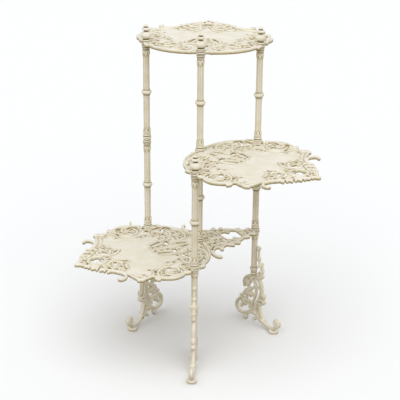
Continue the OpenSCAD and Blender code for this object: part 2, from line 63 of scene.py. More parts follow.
# Patterns of the castings, in millimetres. A field is the lowest and highest x and the lowest
# and highest y of a pattern, a stroke is a list of (x, y, half width) and a hole is
# (x, y, length, width, turn in degrees). The shelf lies with its axis along +X and its centre
# lug at the origin; only one half is written, the other is its mirror image.
SHELF_FIELD = (-20, 426, 0, 218)
SHELF_EDGE = (
    (402, 0), (397, 13), (386, 22), (375, 40), (358, 54), (346, 70), (330, 84), (316, 98),
    (304, 114), (296, 132), (290, 152), (284, 170), (270, 181), (252, 179), (236, 174),
    (228, 184), (214, 199), (180, 212), (150, 204), (134, 190), (118, 183), (84, 178), (68, 166),
    (46, 149), (24, 126), (7, 97), (-4, 62), (-6, 30), (-3, 8),
)
SHELF_HOOK = ((334, 82, 4.5), (318, 98, 5), (306, 117, 4.7), (304, 135, 4.3), (313, 149, 4),
              (325, 152, 4), (330.3, 146, 4.9))
SHELF_LEAVES = (
    ((372, 26, 5), (382, 27, 5), (388, 25, 3.5)),
    ((354, 44, 5.5), (366, 48, 5), (374, 47, 3.5)),
    ((336, 62, 5.5), (348, 68, 5), (356, 68, 3.5)),
    ((320, 78, 5.5), (331, 85, 5), (339, 87, 3.5)),
    ((388, 6, 6), (399, 4, 6), (409, 0, 6)),
    ((262, 172, 8), (272, 178, 8), (281, 176, 6)),
    ((222, 182, 6), (229, 189, 7), (226, 197, 6)),
    ((140, 186, 6), (130, 192, 6), (124, 189, 5)),
    ((84, 168, 6), (73, 170, 6.5), (66, 166, 5)),
)
SHELF_SCROLLS = (
    ((46, 140, 4), (26, 112, 4), (18, 76, 4), (30, 42, 4), (54, 38, 3.5), (52, 56, 3)),
    ((108, 52, 3), (128, 50, 4.5), (152, 40, 2.5)),
    ((110, 34, 3), (132, 24, 3.5), (150, 18, 3), (162, 8, 2.5)),
    ((96, 78, 3.5), (82, 106, 4), (100, 132, 4), (112, 114, 3)),
    ((216, 184, 3.5), (212, 154, 4), (178, 130, 4), (146, 150, 4), (158, 188, 4),
     (186, 186, 3.5), (190, 170, 3)),
    ((232, 166, 3), (206, 132, 3.5), (176, 116, 3.5), (148, 118, 3)),
    ((72, 150, 3), (92, 160, 4), (116, 168, 3.5), (132, 176, 3)),
    ((60, 128, 3), (74, 126, 4), (92, 122, 3)),
    ((70, 20, 3), (88, 22, 4), (92, 44, 4), (78, 58, 3.5), (66, 48, 3)),
    ((62, 84, 3), (56, 104, 3.5), (62, 116, 3)),
    ((300, 96, 3), (278, 82, 4), (282, 46, 4), (300, 26, 4), (322, 36, 4), (322, 56, 3.5)),
    ((252, 46, 3), (264, 30, 3.5), (284, 18, 3.5), (306, 20, 3)),
    ((324, 20, 4), (340, 26, 4), (358, 22, 4), (370, 8, 4), (372, 0, 4)),
    ((384, 0, 3.5), (372, 22, 3.5), (352, 40, 4), (334, 58, 3.5), (316, 74, 3.5)),
    ((256, 166, 3.5), (272, 152, 3.5), (280, 128, 3.5), (290, 112, 3)),
)
# Broad rolled mouldings along the lobes of the outline
SHELF_BANDS = (
    ((22, 104, 5), (36, 124, 8), (56, 144, 9), (78, 160, 8), (96, 170, 5)),
    ((138, 186, 5), (156, 195, 8), (180, 200, 9), (204, 192, 8), (220, 178, 5)),
)
# Round knobs on the outline: (x, y, radius)
SHELF_KNOBS = (
    (408.7, 0, 6), (396, 13, 4), (390, 24, 4.8), (383, 36, 4), (376, 47, 4.8), (366, 58, 4),
    (358, 68, 4.8), (349, 78, 4), (341, 88, 4.8), (330.1, 146, 4.9),
    (226, 198, 5.5), (124, 190, 5.5), (66, 167, 5.5), (281, 177, 6), (-5, 33, 5),
)
# Where a leaf tip of the bottom shelf stands up behind the plate, and its (radius, height)
SHELF_TIP = (148.0, -204.0)
TIP_PROFILE = ((0, -1), (2.4, -1), (2.4, 4), (3.7, 9), (3.8, 13), (2.6, 16), (0, 17.5))
SHELF_HOLES = (
    (136, 36, 42, 8, -24), (155, 13, 10, 6, 30), (100, 31, 24, 11, 88), (115, 14, 10, 7, 0),
    (135, 14, 10, 7, 10), (58, 12, 32, 6, 10), (84, 88, 20, 9, 88), (107, 68, 9, 6, 20),
    (115, 96, 9, 7, 0), (137, 108, 10, 7, 0), (155, 104, 8, 6, 0), (228, 130, 8, 6, 0),
    (256, 154, 8, 6, 0), (120, 140, 7, 12, 0), (121, 164, 6, 9, 0), (84, 66, 10, 6, 60),
    (59, 64, 13, 6, 60), (48, 92, 12, 6, 70), (33, 94, 9, 6, 90), (17, 50, 14, 6, 100),
    (35, 66, 10, 6, 75), (46, 47, 9, 6, 30), (102, 110, 12, 6, 60), (171, 147, 22, 13, 62),
    (160, 172, 15, 5, -20), (191, 152, 13, 5, 20), (198, 190, 18, 5, -25),
    (198, 167, 12, 6, 60), (217, 150, 18, 6, 76), (294, 72, 14, 7, 80), (312, 82, 12, 6, 40),
    (302, 44, 22, 8, 66), (268, 38, 15, 7, -30), (277, 60, 9, 6, 0), (350, 50, 10, 5, 30),
    (286, 92, 9, 6, 0), (306, 8, 12, 6, 0), (378, 12, 8, 5, 40), (330, 66, 9, 5, 40),
    (4, 23, 9, 5, 80), (120, 178, 8, 4.5, 20), (79, 163, 8, 4.5, 40),
)
# Holes that bend: their stroke is taken out of the plate
SHELF_SLOTS = (
    ((45, 123, 2.5), (54, 140, 3), (66, 134, 3.5), (78, 118, 3)),
    ((70, 148, 2.5), (84, 148, 3), (98, 142, 2.5)),
    ((140, 158, 2.5), (142, 176, 3.5), (154, 186, 3), (170, 182, 2)),
)
SHELF_WINDOWS = (
    ((341, 0, 7), (341, 8, 7)), ((355, 0, 5), (355, 8, 5)), ((326, 0, 4), (326, 4, 3.5)),
    ((392, 0, 3), (389, 0, 3)),
)
# Fan of shallow grooves on the plain middle of a shelf
SHELF_VEINS = (
    ((214, 3, 1.2), (190, 26, 1.8), (170, 60, 1.8), (164, 92, 1)),
    ((218, 5, 1.2), (210, 50, 1.9), (196, 88, 1.6), (190, 116, 1)),
    ((222, 5, 1.2), (234, 50, 1.9), (232, 96, 1.6), (222, 122, 1)),
    ((226, 4, 1.2), (254, 34, 1.9), (266, 80, 1.6), (264, 120, 1)),
    ((228, 0, 1.2), (256, 6, 1.8), (272, 10, 1)),
    ((204, 0, 1.2), (186, 4, 1.6), (170, 0, 1)),
)

# The stretcher, from the centre column towards -X; again one half
BRIDGE_FIELD = (-222, 20, 0, 148)
BRIDGE_EDGE = (
    (-200, 10), (-188, 14), (-172, 19), (-158, 27), (-146, 34), (-134, 43), (-121, 50),
    (-106, 54), (-92, 58), (-80, 60), (-68, 62), (-56, 68), (-46, 74), (-36, 72), (-28, 69),
    (-18, 76), (-10, 86), (-4, 98), (12, 104),
)
BRIDGE_LEAVES = (
    ((-13, 74, 6), (-4, 86, 6), (1, 100, 5.5), (2, 114, 5), (-2, 126, 5), (-9, 132, 5.5)),
    ((-44, 70, 7), (-40, 78, 6.5), (-38, 83, 6)),
    ((-72, 58, 7), (-80, 65, 6.5), (-85, 69, 6)),
    ((-98, 50, 7), (-104, 58, 6.5), (-108, 62, 6)),
    ((-142, 28, 6), (-152, 33, 6), (-158, 33, 5.5)),
    ((-174, 15, 6), (-181, 21, 5.5), (-187, 22, 5)),
)
BRIDGE_SCROLLS = (
    ((-18, 20, 3.5), (-36, 28, 4), (-44, 46, 4), (-34, 60, 4), (-20, 54, 3.5), (-22, 42, 3)),
    ((-60, 10, 3), (-74, 24, 4), (-72, 44, 4), (-58, 52, 3.5), (-52, 40, 3)),
    ((-84, 54, 3), (-104, 44, 4), (-126, 38, 4), (-146, 26, 4), (-160, 10, 3)),
    ((-30, 78, 3), (-52, 72, 3.5), (-76, 62, 3)),
    ((-84, 4, 3), (-86, 16, 3.5), (-94, 26, 3)),
)
BRIDGE_HOLES = (
    (-29, 7, 10, 6, 10), (-50, 15, 12, 6, 20), (-67, 17, 10, 6, 75), (-60, 34, 13, 7, 50),
    (-35, 39, 12, 7, 60), (-15, 42, 10, 6, 80), (-98, 42, 11, 5, 15), (-40, 62, 9, 6, 30),
    (-20, 62, 10, 6, 60), (-80, 50, 9, 5, 20), (-168, 7, 12, 5, 20), (-8, 78, 10, 5, 70),
)
BRIDGE_WINDOW = (
    (-84, 0), (-84, 10), (-87, 20), (-94, 27), (-103, 27), (-108, 20), (-113, 16), (-118, 20),
    (-123, 27), (-132, 29), (-139, 22), (-141, 10), (-141, 0),
)

# Strokes of a leg in its own plane: (along the foot, height, half width), drawn for a leg
# whose cup has its rim at LEG_DRAWN. Straps have a groove along their middle.
LEG_FIELD = (-90, 138, 0, 298)
LEG_DRAWN = 206.0
LEG_STRAPS = (
    ((-41, 124, 4.5), (-43, 138, 5), (-38, 152, 5.5), (-27, 162, 6), (-11, 169, 6), (4, 172, 6),
     (18, 171, 6), (29, 165, 6), (36, 154, 6), (39, 143, 6), (40, 130, 6), (37, 113, 6),
     (30, 97, 6), (20, 80, 6), (4, 55, 6), (-12, 37, 6), (-31, 24, 6), (-53, 19, 6),
     (-69, 24, 6), (-77, 35, 6), (-76, 50, 5.5), (-66, 65, 5), (-53, 74, 4.5)),
    ((21, 68, 5), (17, 55, 6), (15, 43, 6.5), (22, 33, 6), (33, 26, 6), (46, 21, 6)),
    ((30, 74, 5), (34, 59, 5.5), (39, 45, 5.5), (46, 32, 6), (51, 23, 6.2), (59, 17, 6),
     (74, 13, 5.6), (91, 12, 5.6), (106, 18, 5.6), (119, 28, 5.5)),
)
LEG_CURLS = (
    ((-17, 148, 4), (-6, 156, 5), (4, 155, 5), (11, 146, 5), (19, 138, 4.5), (34, 137, 4)),
    ((4, 133, 4.5), (-6, 125, 5), (-16, 115, 5.5), (-27, 107, 6)),
    ((4, 133, 4.5), (12, 128, 4.5), (14, 114, 4.5), (9, 98, 4.5), (2, 80, 4.5), (-4, 66, 4.5),
     (-6, 51, 4)),
    ((-23, 101, 4), (-29, 88, 4), (-36, 74, 4.5)),
    ((-50, 74, 4.5), (-36, 74, 5), (-23, 74, 5.5), (-14, 72, 4)),
    ((-33, 60, 4), (-21, 64, 4.5), (-13, 60, 4.5), (-15, 51, 4.5)),
    ((-62, 65, 4), (-53, 61, 4.5), (-48, 52, 5), (-52, 45, 5)),
    ((5, 52, 5), (0, 40, 5), (-14, 32, 5), (-28, 26, 6), (-37, 18, 6)),
    ((-6, 36, 4.5), (5, 36, 5), (15, 39, 6)),
    ((20, 175, 5), (34, 177, 6), (45, 185, 4)),
    ((31, 177, 5), (39, 188, 5), (40, 202, 4.5), (37, 214, 4.5), (31, 223, 5), (25, 219, 4)),
    ((35, 215, 4), (30, 226, 4), (24, 235, 4), (22, 245, 3.5), (22, 258, 3), (21, 270, 3),
     (21, 281, 3.5)),
)
LEG_LEAVES = (
    ((-28, 134, 6), (-23, 127, 5), (-15, 120, 5)),
    ((-21, 105, 5), (-10, 106, 5.5), (-2, 104, 5), (1, 100, 3)),
    ((-19, 102, 5), (-13, 96, 5), (-11, 91, 3)),
    ((-59, 82, 5), (-50, 87, 4.5), (-41, 97, 5.5), (-35, 108, 5.5), (-31, 112, 3)),
    ((-51, 84, 4), (-38, 93, 5), (-24, 104, 6)),
    ((-50, 74, 4.5), (-40, 67, 5), (-33, 60, 5), (-36, 51, 3)),
    ((39, 115, 5), (50, 119, 6), (54, 111, 5)),
    ((35, 95, 5), (47, 99, 6), (55, 94, 6)),
    ((55, 94, 5), (45, 85, 5), (30, 81, 5)),
    ((22, 27, 4), (14, 18, 4.5), (6, 15, 5)),
)
# Round ends of the leg: (along the foot, height, radius)
LEG_VOLUTES = ((116, 41, 16), (-24, 144, 13), (-33, 13, 11))
LEG_BEADS = ((-55, 43, 6.5), (24, 186, 8), (22, 243, 8), (21, 280, 8), (35, 221, 6.5),
             (40, 200, 6))
# Collars that swell out of the web: (along the foot, height, width, radius)
LEG_COLLARS = ((15, 43, 23, 9), (49.5, 25.5, 21, 9.8), (32, 223, 25, 7), (38, 203, 20, 6.4))


def smooth_path(points: Sequence[Sequence[float]], steps: int = 6) -> Array:
    """Runs a Catmull-Rom curve through the points.

    Between b and c the curve is (2b + (c-a)t + (2a-5b+4c-d)t^2 + (3b-a-3c+d)t^3) / 2.

    Args:
        points: the points that the curve passes, each with two or more numbers.
        steps: how many pieces each span gets.
    Returns:
        The points of the curve, one row each.
    """
    p = np.asarray(points, float)
    p = np.vstack([p[:1], p, p[-1:]])
    a, b, c, d = (p[i:len(p) - 3 + i, None] for i in range(4))
    t = np.arange(steps)[:, None] / steps
    curve = b + 0.5 * ((c - a) * t + (2 * a - 5 * b + 4 * c - d) * t ** 2
                       + (3 * b - a - 3 * c + d) * t ** 3)
    return np.vstack([curve.reshape(-1, p.shape[1]), p[-2:-1]])


def ramp(value: Array, low: float, high: float) -> Array:
    """Rises smoothly from 0 at low to 1 at high: 3t^2 - 2t^3."""
    t = np.clip((value - low) / (high - low), 0, 1)
    return t * t * (3 - 2 * t)


def bead(distance: Array, width: float) -> Array:
    """Half-round ridge over 0 to width: sqrt(1 - (2s - 1)^2) with s = distance / width."""
    s = np.clip(distance / width, 0, 1)
    return np.sqrt(np.maximum(0, 1 - (2 * s - 1) ** 2))


def blurred(values: Array, reach: int) -> Array:
    """Softens a grid by a box average that is taken three times each way.

    Args:
        values: the grid.
        reach: half width of the box, in cells.
    Returns:
        The softened grid, of the same size.
    """
    for axis in (0, 1):
        for _ in range(3):
            pad = [(reach + 1, reach) if i == axis else (0, 0) for i in (0, 1)]
            total = np.cumsum(np.pad(values, pad, mode="edge"), axis=axis)
            span = 2 * reach + 1
            high = np.take(total, np.arange(span, total.shape[axis]), axis=axis)
            low = np.take(total, np.arange(0, total.shape[axis] - span), axis=axis)
            values = (high - low) / span
    return values


def dots(spots: Sequence[tuple[float, float, float]]) -> list[Stroke]:
    """Returns a very short stroke for each round spot (x, y, radius)."""
    return [((x, y, r), (x + 0.2, y, r)) for x, y, r in spots]


def both_halves(half: Sequence[Sequence[float]]) -> Array:
    """Returns the smooth closed outline whose half on the +Y side is given."""
    edge = smooth_path(half)
    return np.vstack([edge, edge[::-1] * np.array([1, -1])])


@dataclass
class Shell:
    """A closed triangle mesh in millimetres with its grime and painted shade, from 0 (clean) to 1.
    """

    verts: Array
    faces: Array
    grime_and_shade: Array

    def moved(self, x: float, y: float, z: float) -> "Shell":
        """Returns the shell moved by x, y and z."""
        return Shell(self.verts + np.array([x, y, z]), self.faces, self.grime_and_shade)

    def turned(self, angle: float) -> "Shell":
        """Returns the shell turned about the Z axis by an angle in degrees."""
        a = math.radians(angle)
        turn = np.array([[math.cos(a), math.sin(a), 0], [-math.sin(a), math.cos(a), 0], [0, 0, 1]])
        return Shell(self.verts @ turn, self.faces, self.grime_and_shade)

    def stood_up(self) -> "Shell":
        """Returns the shell with its Y axis turned up to Z."""
        return Shell(self.verts[:, [0, 2, 1]] * np.array([1, -1, 1]), self.faces, self.grime_and_shade)

    @staticmethod
    def joined(shells: Sequence["Shell"]) -> "Shell":
        """Returns the shells as one."""
        starts = np.cumsum([0] + [len(s.verts) for s in shells[:-1]])
        return Shell(np.vstack([s.verts for s in shells]),
                     np.vstack([s.faces + n for s, n in zip(shells, starts)]),
                     np.concatenate([s.grime_and_shade for s in shells]))


def skin(points: Array, dirt_and_shade: Array, ring: bool = False) -> Shell:
    """Joins rows of points, each row a loop, by triangles.

    Args:
        points: the points by row and by place in it; a row of equal points becomes one point.
        dirt_and_shade: grime and painted shade of each point.
        ring: whether the last row joins the first.
    Returns:
        The closed shell.
    """
    rows, n = points.shape[:2]
    i, j = np.meshgrid(np.arange(rows if ring else rows - 1), np.arange(n), indexing="ij")
    i, j = i.ravel(), j.ravel()
    i2, j2 = (i + 1) % rows, (j + 1) % n
    a, b, c, d = i * n + j, i * n + j2, i2 * n + j2, i2 * n + j
    faces = np.vstack([np.stack([a, b, c], 1), np.stack([a, c, d], 1)])
    number = np.arange(rows * n)
    single = np.repeat(np.ptp(points, axis=1).max(1) < 0.01, n)
    faces = np.where(single, number // n * n, number)[faces]
    flat = (faces == np.roll(faces, 1, axis=1)).any(1)
    used, packed = np.unique(faces[~flat], return_inverse=True)
    return Shell(points.reshape(-1, 3)[used], packed.reshape(-1, 3), dirt_and_shade.ravel()[used])


@dataclass
class Sheet:
    """A flat pattern on a square grid; y starts at 0 where the pattern is mirrored. The field
    is the lowest and highest x and the lowest and highest y."""

    field: tuple[float, float, float, float]
    step: float

    def __post_init__(self) -> None:
        """Lays out the grid's points, x and y."""
        x_low, x_high, y_low, y_high = self.field
        xs = np.arange(x_low, x_high + self.step, self.step)
        ys = np.arange(y_low, y_high + self.step, self.step)
        self.x, self.y = np.meshgrid(xs, ys, indexing="ij")

    def _reach(self, path: Array) -> tuple[Array, Array]:
        """Distance from every grid point to every segment of a path.

        With p the point, a and b the segment's ends and t = (p-a).(b-a) / |b-a|^2 held to
        0..1, the distance is |p - a - t (b-a)|.

        Args:
            path: the points of the path.
        Returns:
            The distances and the places t, with one layer for each segment.
        """
        a, b = path[:-1, :2, None, None], path[1:, :2, None, None]
        run_x, run_y = (b - a)[:, 0], (b - a)[:, 1]
        size = np.maximum(run_x ** 2 + run_y ** 2, 1e-9)
        dx, dy = self.x - a[:, 0], self.y - a[:, 1]
        t = np.clip((dx * run_x + dy * run_y) / size, 0, 1)
        return np.hypot(dx - t * run_x, dy - t * run_y), t

    def polygon(self, points: Array) -> Array:
        """Depth inside a closed outline, negative outside it.

        A point is inside if a ray along +X crosses the outline an odd number of times.

        Args:
            points: corners of the outline.
        Returns:
            The depth at every grid point.
        """
        ring = np.vstack([points, points[:1]])
        far = self._reach(ring)[0].min(0)
        a, b = ring[:-1, :, None, None], ring[1:, :, None, None]
        spans = (a[:, 1] > self.y) != (b[:, 1] > self.y)
        rise = np.where(np.abs(b[:, 1] - a[:, 1]) < 1e-9, 1e-9, b[:, 1] - a[:, 1])
        cross = a[:, 0] + (self.y - a[:, 1]) * (b[:, 0] - a[:, 0]) / rise
        odd = (spans & (cross > self.x)).sum(0) % 2 == 1
        return np.where(odd, far, -far)

    def strokes(self, strokes: Sequence[Stroke], base: float = 1.0, rate: float = 0.0,
                cap: float = math.inf, flat: float = 0.0) -> tuple[Array, Array]:
        """Depth inside a set of strokes, and how far their round backs stand up.

        With r the distance to the middle of the stroke, w its half width there and
        h = min(base + rate w, cap), the depth is w - r and the back is
        h (flat + (1 - flat) sqrt(1 - (r / w)^2)).

        Args:
            strokes: the strokes, each a list of (x, y, half width).
            base: height of the back of the thinnest stroke.
            rate: how much that height grows with the half width.
            cap: the greatest height.
            flat: share of the height that the back has at its sides.
        Returns:
            The depth and the height at every grid point.
        """
        depth = np.full(self.x.shape, -1e3)
        back = np.zeros(self.x.shape)
        for stroke in strokes:
            path = smooth_path(stroke)
            r, t = self._reach(path)
            ends = path[:, 2, None, None]
            w = ends[:-1] + (ends[1:] - ends[:-1]) * t
            depth = np.maximum(depth, (w - r).max(0))
            crown = flat + (1 - flat) * np.sqrt(np.maximum(0, 1 - (r / w) ** 2))
            back = np.maximum(back, (np.minimum(base + rate * w, cap) * crown * (r < w)).max(0))
        return depth, back

    def lines(self, strokes: Sequence[Stroke], half_width: float) -> Array:
        """Returns the round backs, 1 high, of thin lines along the middles of strokes."""
        return self.strokes([[(x, y, half_width) for x, y, _ in s] for s in strokes])[1]

    def holes(self, holes: Sequence[Hole]) -> Array:
        """Depth inside a set of round-ended holes.

        Args:
            holes: the holes, each (x, y, length, width, turn).
        Returns:
            The depth at every grid point.
        """
        ends = []
        for x, y, length, width, turn in holes:
            reach = max(length - width, 0.2) / 2
            dx, dy = reach * math.cos(math.radians(turn)), reach * math.sin(math.radians(turn))
            ends.append(((x - dx, y - dy, width / 2), (x + dx, y + dy, width / 2)))
        return self.strokes(ends)[0]

    def mirrored(self, *fields: Array) -> list[Array]:
        """Returns the grid's x and y and the given fields with the mirror image added."""
        both = [np.concatenate([f[:, :0:-1], f], axis=1) for f in (self.x, self.y, *fields)]
        both[1] = np.concatenate([-self.y[:, :0:-1], self.y], axis=1)
        return both


@dataclass(frozen=True)
class GridCut:
    """Triangles over the part of a grid that lies inside an edge.

    Points are numbered on from the grid's own; new point i lies between grid points low[i]
    and high[i], at place[i] from 0 to 1.
    """

    faces: Array
    low: Array
    high: Array
    place: Array

    @staticmethod
    def of(d: Array) -> "GridCut":
        """Cuts a grid along d = 0 and keeps what is inside.

        Each cell is two triangles; the part of a triangle with d >= 0 is kept, and new points
        on its sides lie where d, which runs straight between its corners, is 0.

        Args:
            d: how far each grid point lies inside the edge.
        Returns:
            The triangles and the new points.
        """
        rows, cols = d.shape
        d, count = d.ravel(), d.size
        index = np.arange(count).reshape(rows, cols)
        p00, p10, p01, p11 = (index[i:rows - 1 + i, j:cols - 1 + j].ravel()
                              for i, j in ((0, 0), (1, 0), (0, 1), (1, 1)))
        flip = (np.add.outer(np.arange(rows - 1), np.arange(cols - 1)) % 2 == 1).ravel()[:, None]
        first = np.where(flip, np.stack([p00, p10, p01], 1), np.stack([p00, p10, p11], 1))
        second = np.where(flip, np.stack([p10, p11, p01], 1), np.stack([p00, p11, p01], 1))
        tri = np.vstack([first, second])
        tri = tri[(d[tri] > 0).any(1)]
        sides = np.sort(np.stack([tri, np.roll(tri, -1, 1)], 2), 2)
        crossed = d[sides[..., 0]] * d[sides[..., 1]] < 0
        low, high = sides[crossed].T
        keys, number = np.unique(low * count + high, return_inverse=True)
        # Corners and new points in turn round each triangle, with -1 for those that aren't there
        ring = np.full((len(tri), 6), -1)
        ring[:, ::2] = np.where(d[tri] >= 0, tri, -1)
        ring[:, 1::2][crossed] = count + number.ravel()
        # Each ring starts behind a gap, and in a gap the last point is repeated
        there = ring >= 0
        start = (there & ~np.roll(there, 1, 1)).argmax(1)[:, None]
        ring = np.take_along_axis(ring, (start + np.arange(6)) % 6, 1)
        last = np.maximum.accumulate(np.where(ring >= 0, np.arange(6), 0), axis=1)
        ring = np.take_along_axis(ring, last, 1)
        fan = np.vstack([ring[:, [0, i, i + 1]] for i in range(1, 5)])
        faces = fan[(fan != np.roll(fan, 1, 1)).all(1)]
        low, high = keys // count, keys % count
        return GridCut(faces, low, high, d[low] / (d[low] - d[high]))

    def along(self, values: Array) -> Array:
        """Returns the grid's values with those of the new points added."""
        v = values.ravel()
        return np.concatenate([v, v[self.low] + (v[self.high] - v[self.low]) * self.place])

    def border(self) -> Array:
        """Returns the sides that only one triangle has, each in that triangle's order."""
        sides = np.vstack([self.faces[:, [0, 1]], self.faces[:, [1, 2]], self.faces[:, [2, 0]]])
        count = self.faces.max() + 1
        return sides[~np.isin(sides[:, 0] * count + sides[:, 1], sides[:, 1] * count + sides[:, 0])]


NEAR = 0.36
WALL_TURNS = (60, 30, 0, -30, -60)


def cut_shell(x: Array, y: Array, depth: Array, top: Array, bottom: Array, grime_and_shade: Array,
              step: float, bulge: float = 1.5, under_side_shade: float = 0.0) -> Shell:
    """Closes the part of a grid with depth > 0 to a shell with rounded sides.

    The two surfaces end where the depth is the bulge. From there a wall leans out: at the
    turn t from 90 to -90 degrees it lies bulge cos(t) further out, against the slope of the
    depth, at the height middle + half sin(t) of the two surfaces. Grid points nearer to the
    edge than NEAR of a cell are first moved onto it, by depth * g / |g|^2 with g the slope.
    A wall has (1 + sin(t)) / 2 of the dirt and painted shade of the surface beside it, plus painted
    shade under_side_shade (1 - sin(t)) on its down-facing part.

    Args:
        x: the grid's x.
        y: the grid's y.
        depth: how far each point lies inside the metal.
        top: upper height of each point.
        bottom: lower height of each point.
        grime_and_shade: dirt and painted shade on each point.
        step: size of a cell.
        bulge: how far the sides stand out.
        under_side_shade: painted shade under the sides.
    Returns:
        The closed shell.
    """
    gx, gy = np.gradient(depth, step)
    size = np.maximum(gx ** 2 + gy ** 2, 0.25)
    inner = depth - bulge
    near = np.abs(inner) < NEAR * step
    x = np.where(near, x - inner * gx / size, x)
    y = np.where(near, y - inner * gy / size, y)
    cut = GridCut.of(np.where(near, 0.0, inner))
    px, py, up, down, dirt_and_shade, gx, gy = map(cut.along, (x, y, top, bottom, grime_and_shade, gx, gy))
    total = len(px)
    border = cut.border()
    rim = np.unique(border)
    ends = np.searchsorted(rim, border)
    slope = np.maximum(np.hypot(gx[rim], gy[rim]), 1e-6)
    middle, half = (up[rim] + down[rim]) / 2, (up[rim] - down[rim]) / 2
    turns = np.radians(WALL_TURNS)[:, None]
    wall = np.stack([px[rim] - bulge * np.cos(turns) * gx[rim] / slope,
                     py[rim] - bulge * np.cos(turns) * gy[rim] / slope,
                     middle + half * np.sin(turns)], 2)
    rings = np.vstack([rim[None], 2 * total + np.arange(wall[..., 0].size).reshape(len(turns), -1),
                       total + rim[None]])
    a, b = rings[:, ends[:, 0]], rings[:, ends[:, 1]]
    sides = np.stack([b[:-1], a[:-1], a[1:], b[1:]], 2).reshape(-1, 4)
    verts = np.vstack([np.stack([px, py, up], 1), np.stack([px, py, down], 1), wall.reshape(-1, 3)])
    faces = np.vstack([cut.faces, cut.faces[:, ::-1] + total, sides[:, :3], sides[:, [0, 2, 3]]])
    used, packed = np.unique(faces, return_inverse=True)
    # Painted shade: the lower, down-facing rows of a wall are darkened by under_side_shade
    wall_dirt_and_shade = (dirt_and_shade[rim] * (1 + np.sin(turns)) / 2 + under_side_shade * (1 - np.sin(turns))).ravel()
    dirt_and_shade = np.clip(np.concatenate([dirt_and_shade, dirt_and_shade, wall_dirt_and_shade]), 0, 1)
    return Shell(verts[used], packed.reshape(-1, 3), dirt_and_shade[used])


class LeafWay(Enum):
    """Which way the tips of a ring of leaves point."""

    UP = 1
    DOWN = -1


@dataclass(frozen=True)
class LeafRing:
    """A ring of pointed leaves raised on a turned piece, by default six.

    With s from 0 at the root to 1 at the tip and a from 0 on the leaf's middle to 1 at its
    side, the leaf ends where a is e = 0.96 sqrt(1 - s^3) and stands
    proud (0.35 + 0.65 exp(-((s - 0.74) / 0.24)^2)) (1 - (a / e)^2)^0.6, less a narrow vein
    along its middle.
    """

    low: float
    high: float
    proud: float
    count: int = 6
    way: LeafWay = LeafWay.UP
    offset: float = 0.0

    def raised(self, z: Array, angle: Array) -> Array:
        """Height of the leaves above the piece.

        Args:
            z: heights along the axis.
            angle: angles about the axis, in radians.
        Returns:
            The height at every point.
        """
        s = (z - self.low) / (self.high - self.low)
        s = s if self.way is LeafWay.UP else 1 - s
        turn = angle * self.count / (2 * math.pi) + self.offset
        a = np.abs(turn - np.floor(turn) - 0.5) * 2
        edge = np.sqrt(np.maximum(1e-6, 1 - np.clip(s, 0, 1) ** 3)) * 0.96
        inside = np.maximum(0, 1 - (a / edge) ** 2) ** 0.6 * ((s >= 0) & (s <= 1))
        vein = 1 - 0.25 * np.exp(-(a / 0.13) ** 2)
        curl = 0.35 + 0.65 * np.exp(-((s - 0.74) / 0.24) ** 2)
        return self.proud * curl * inside * vein


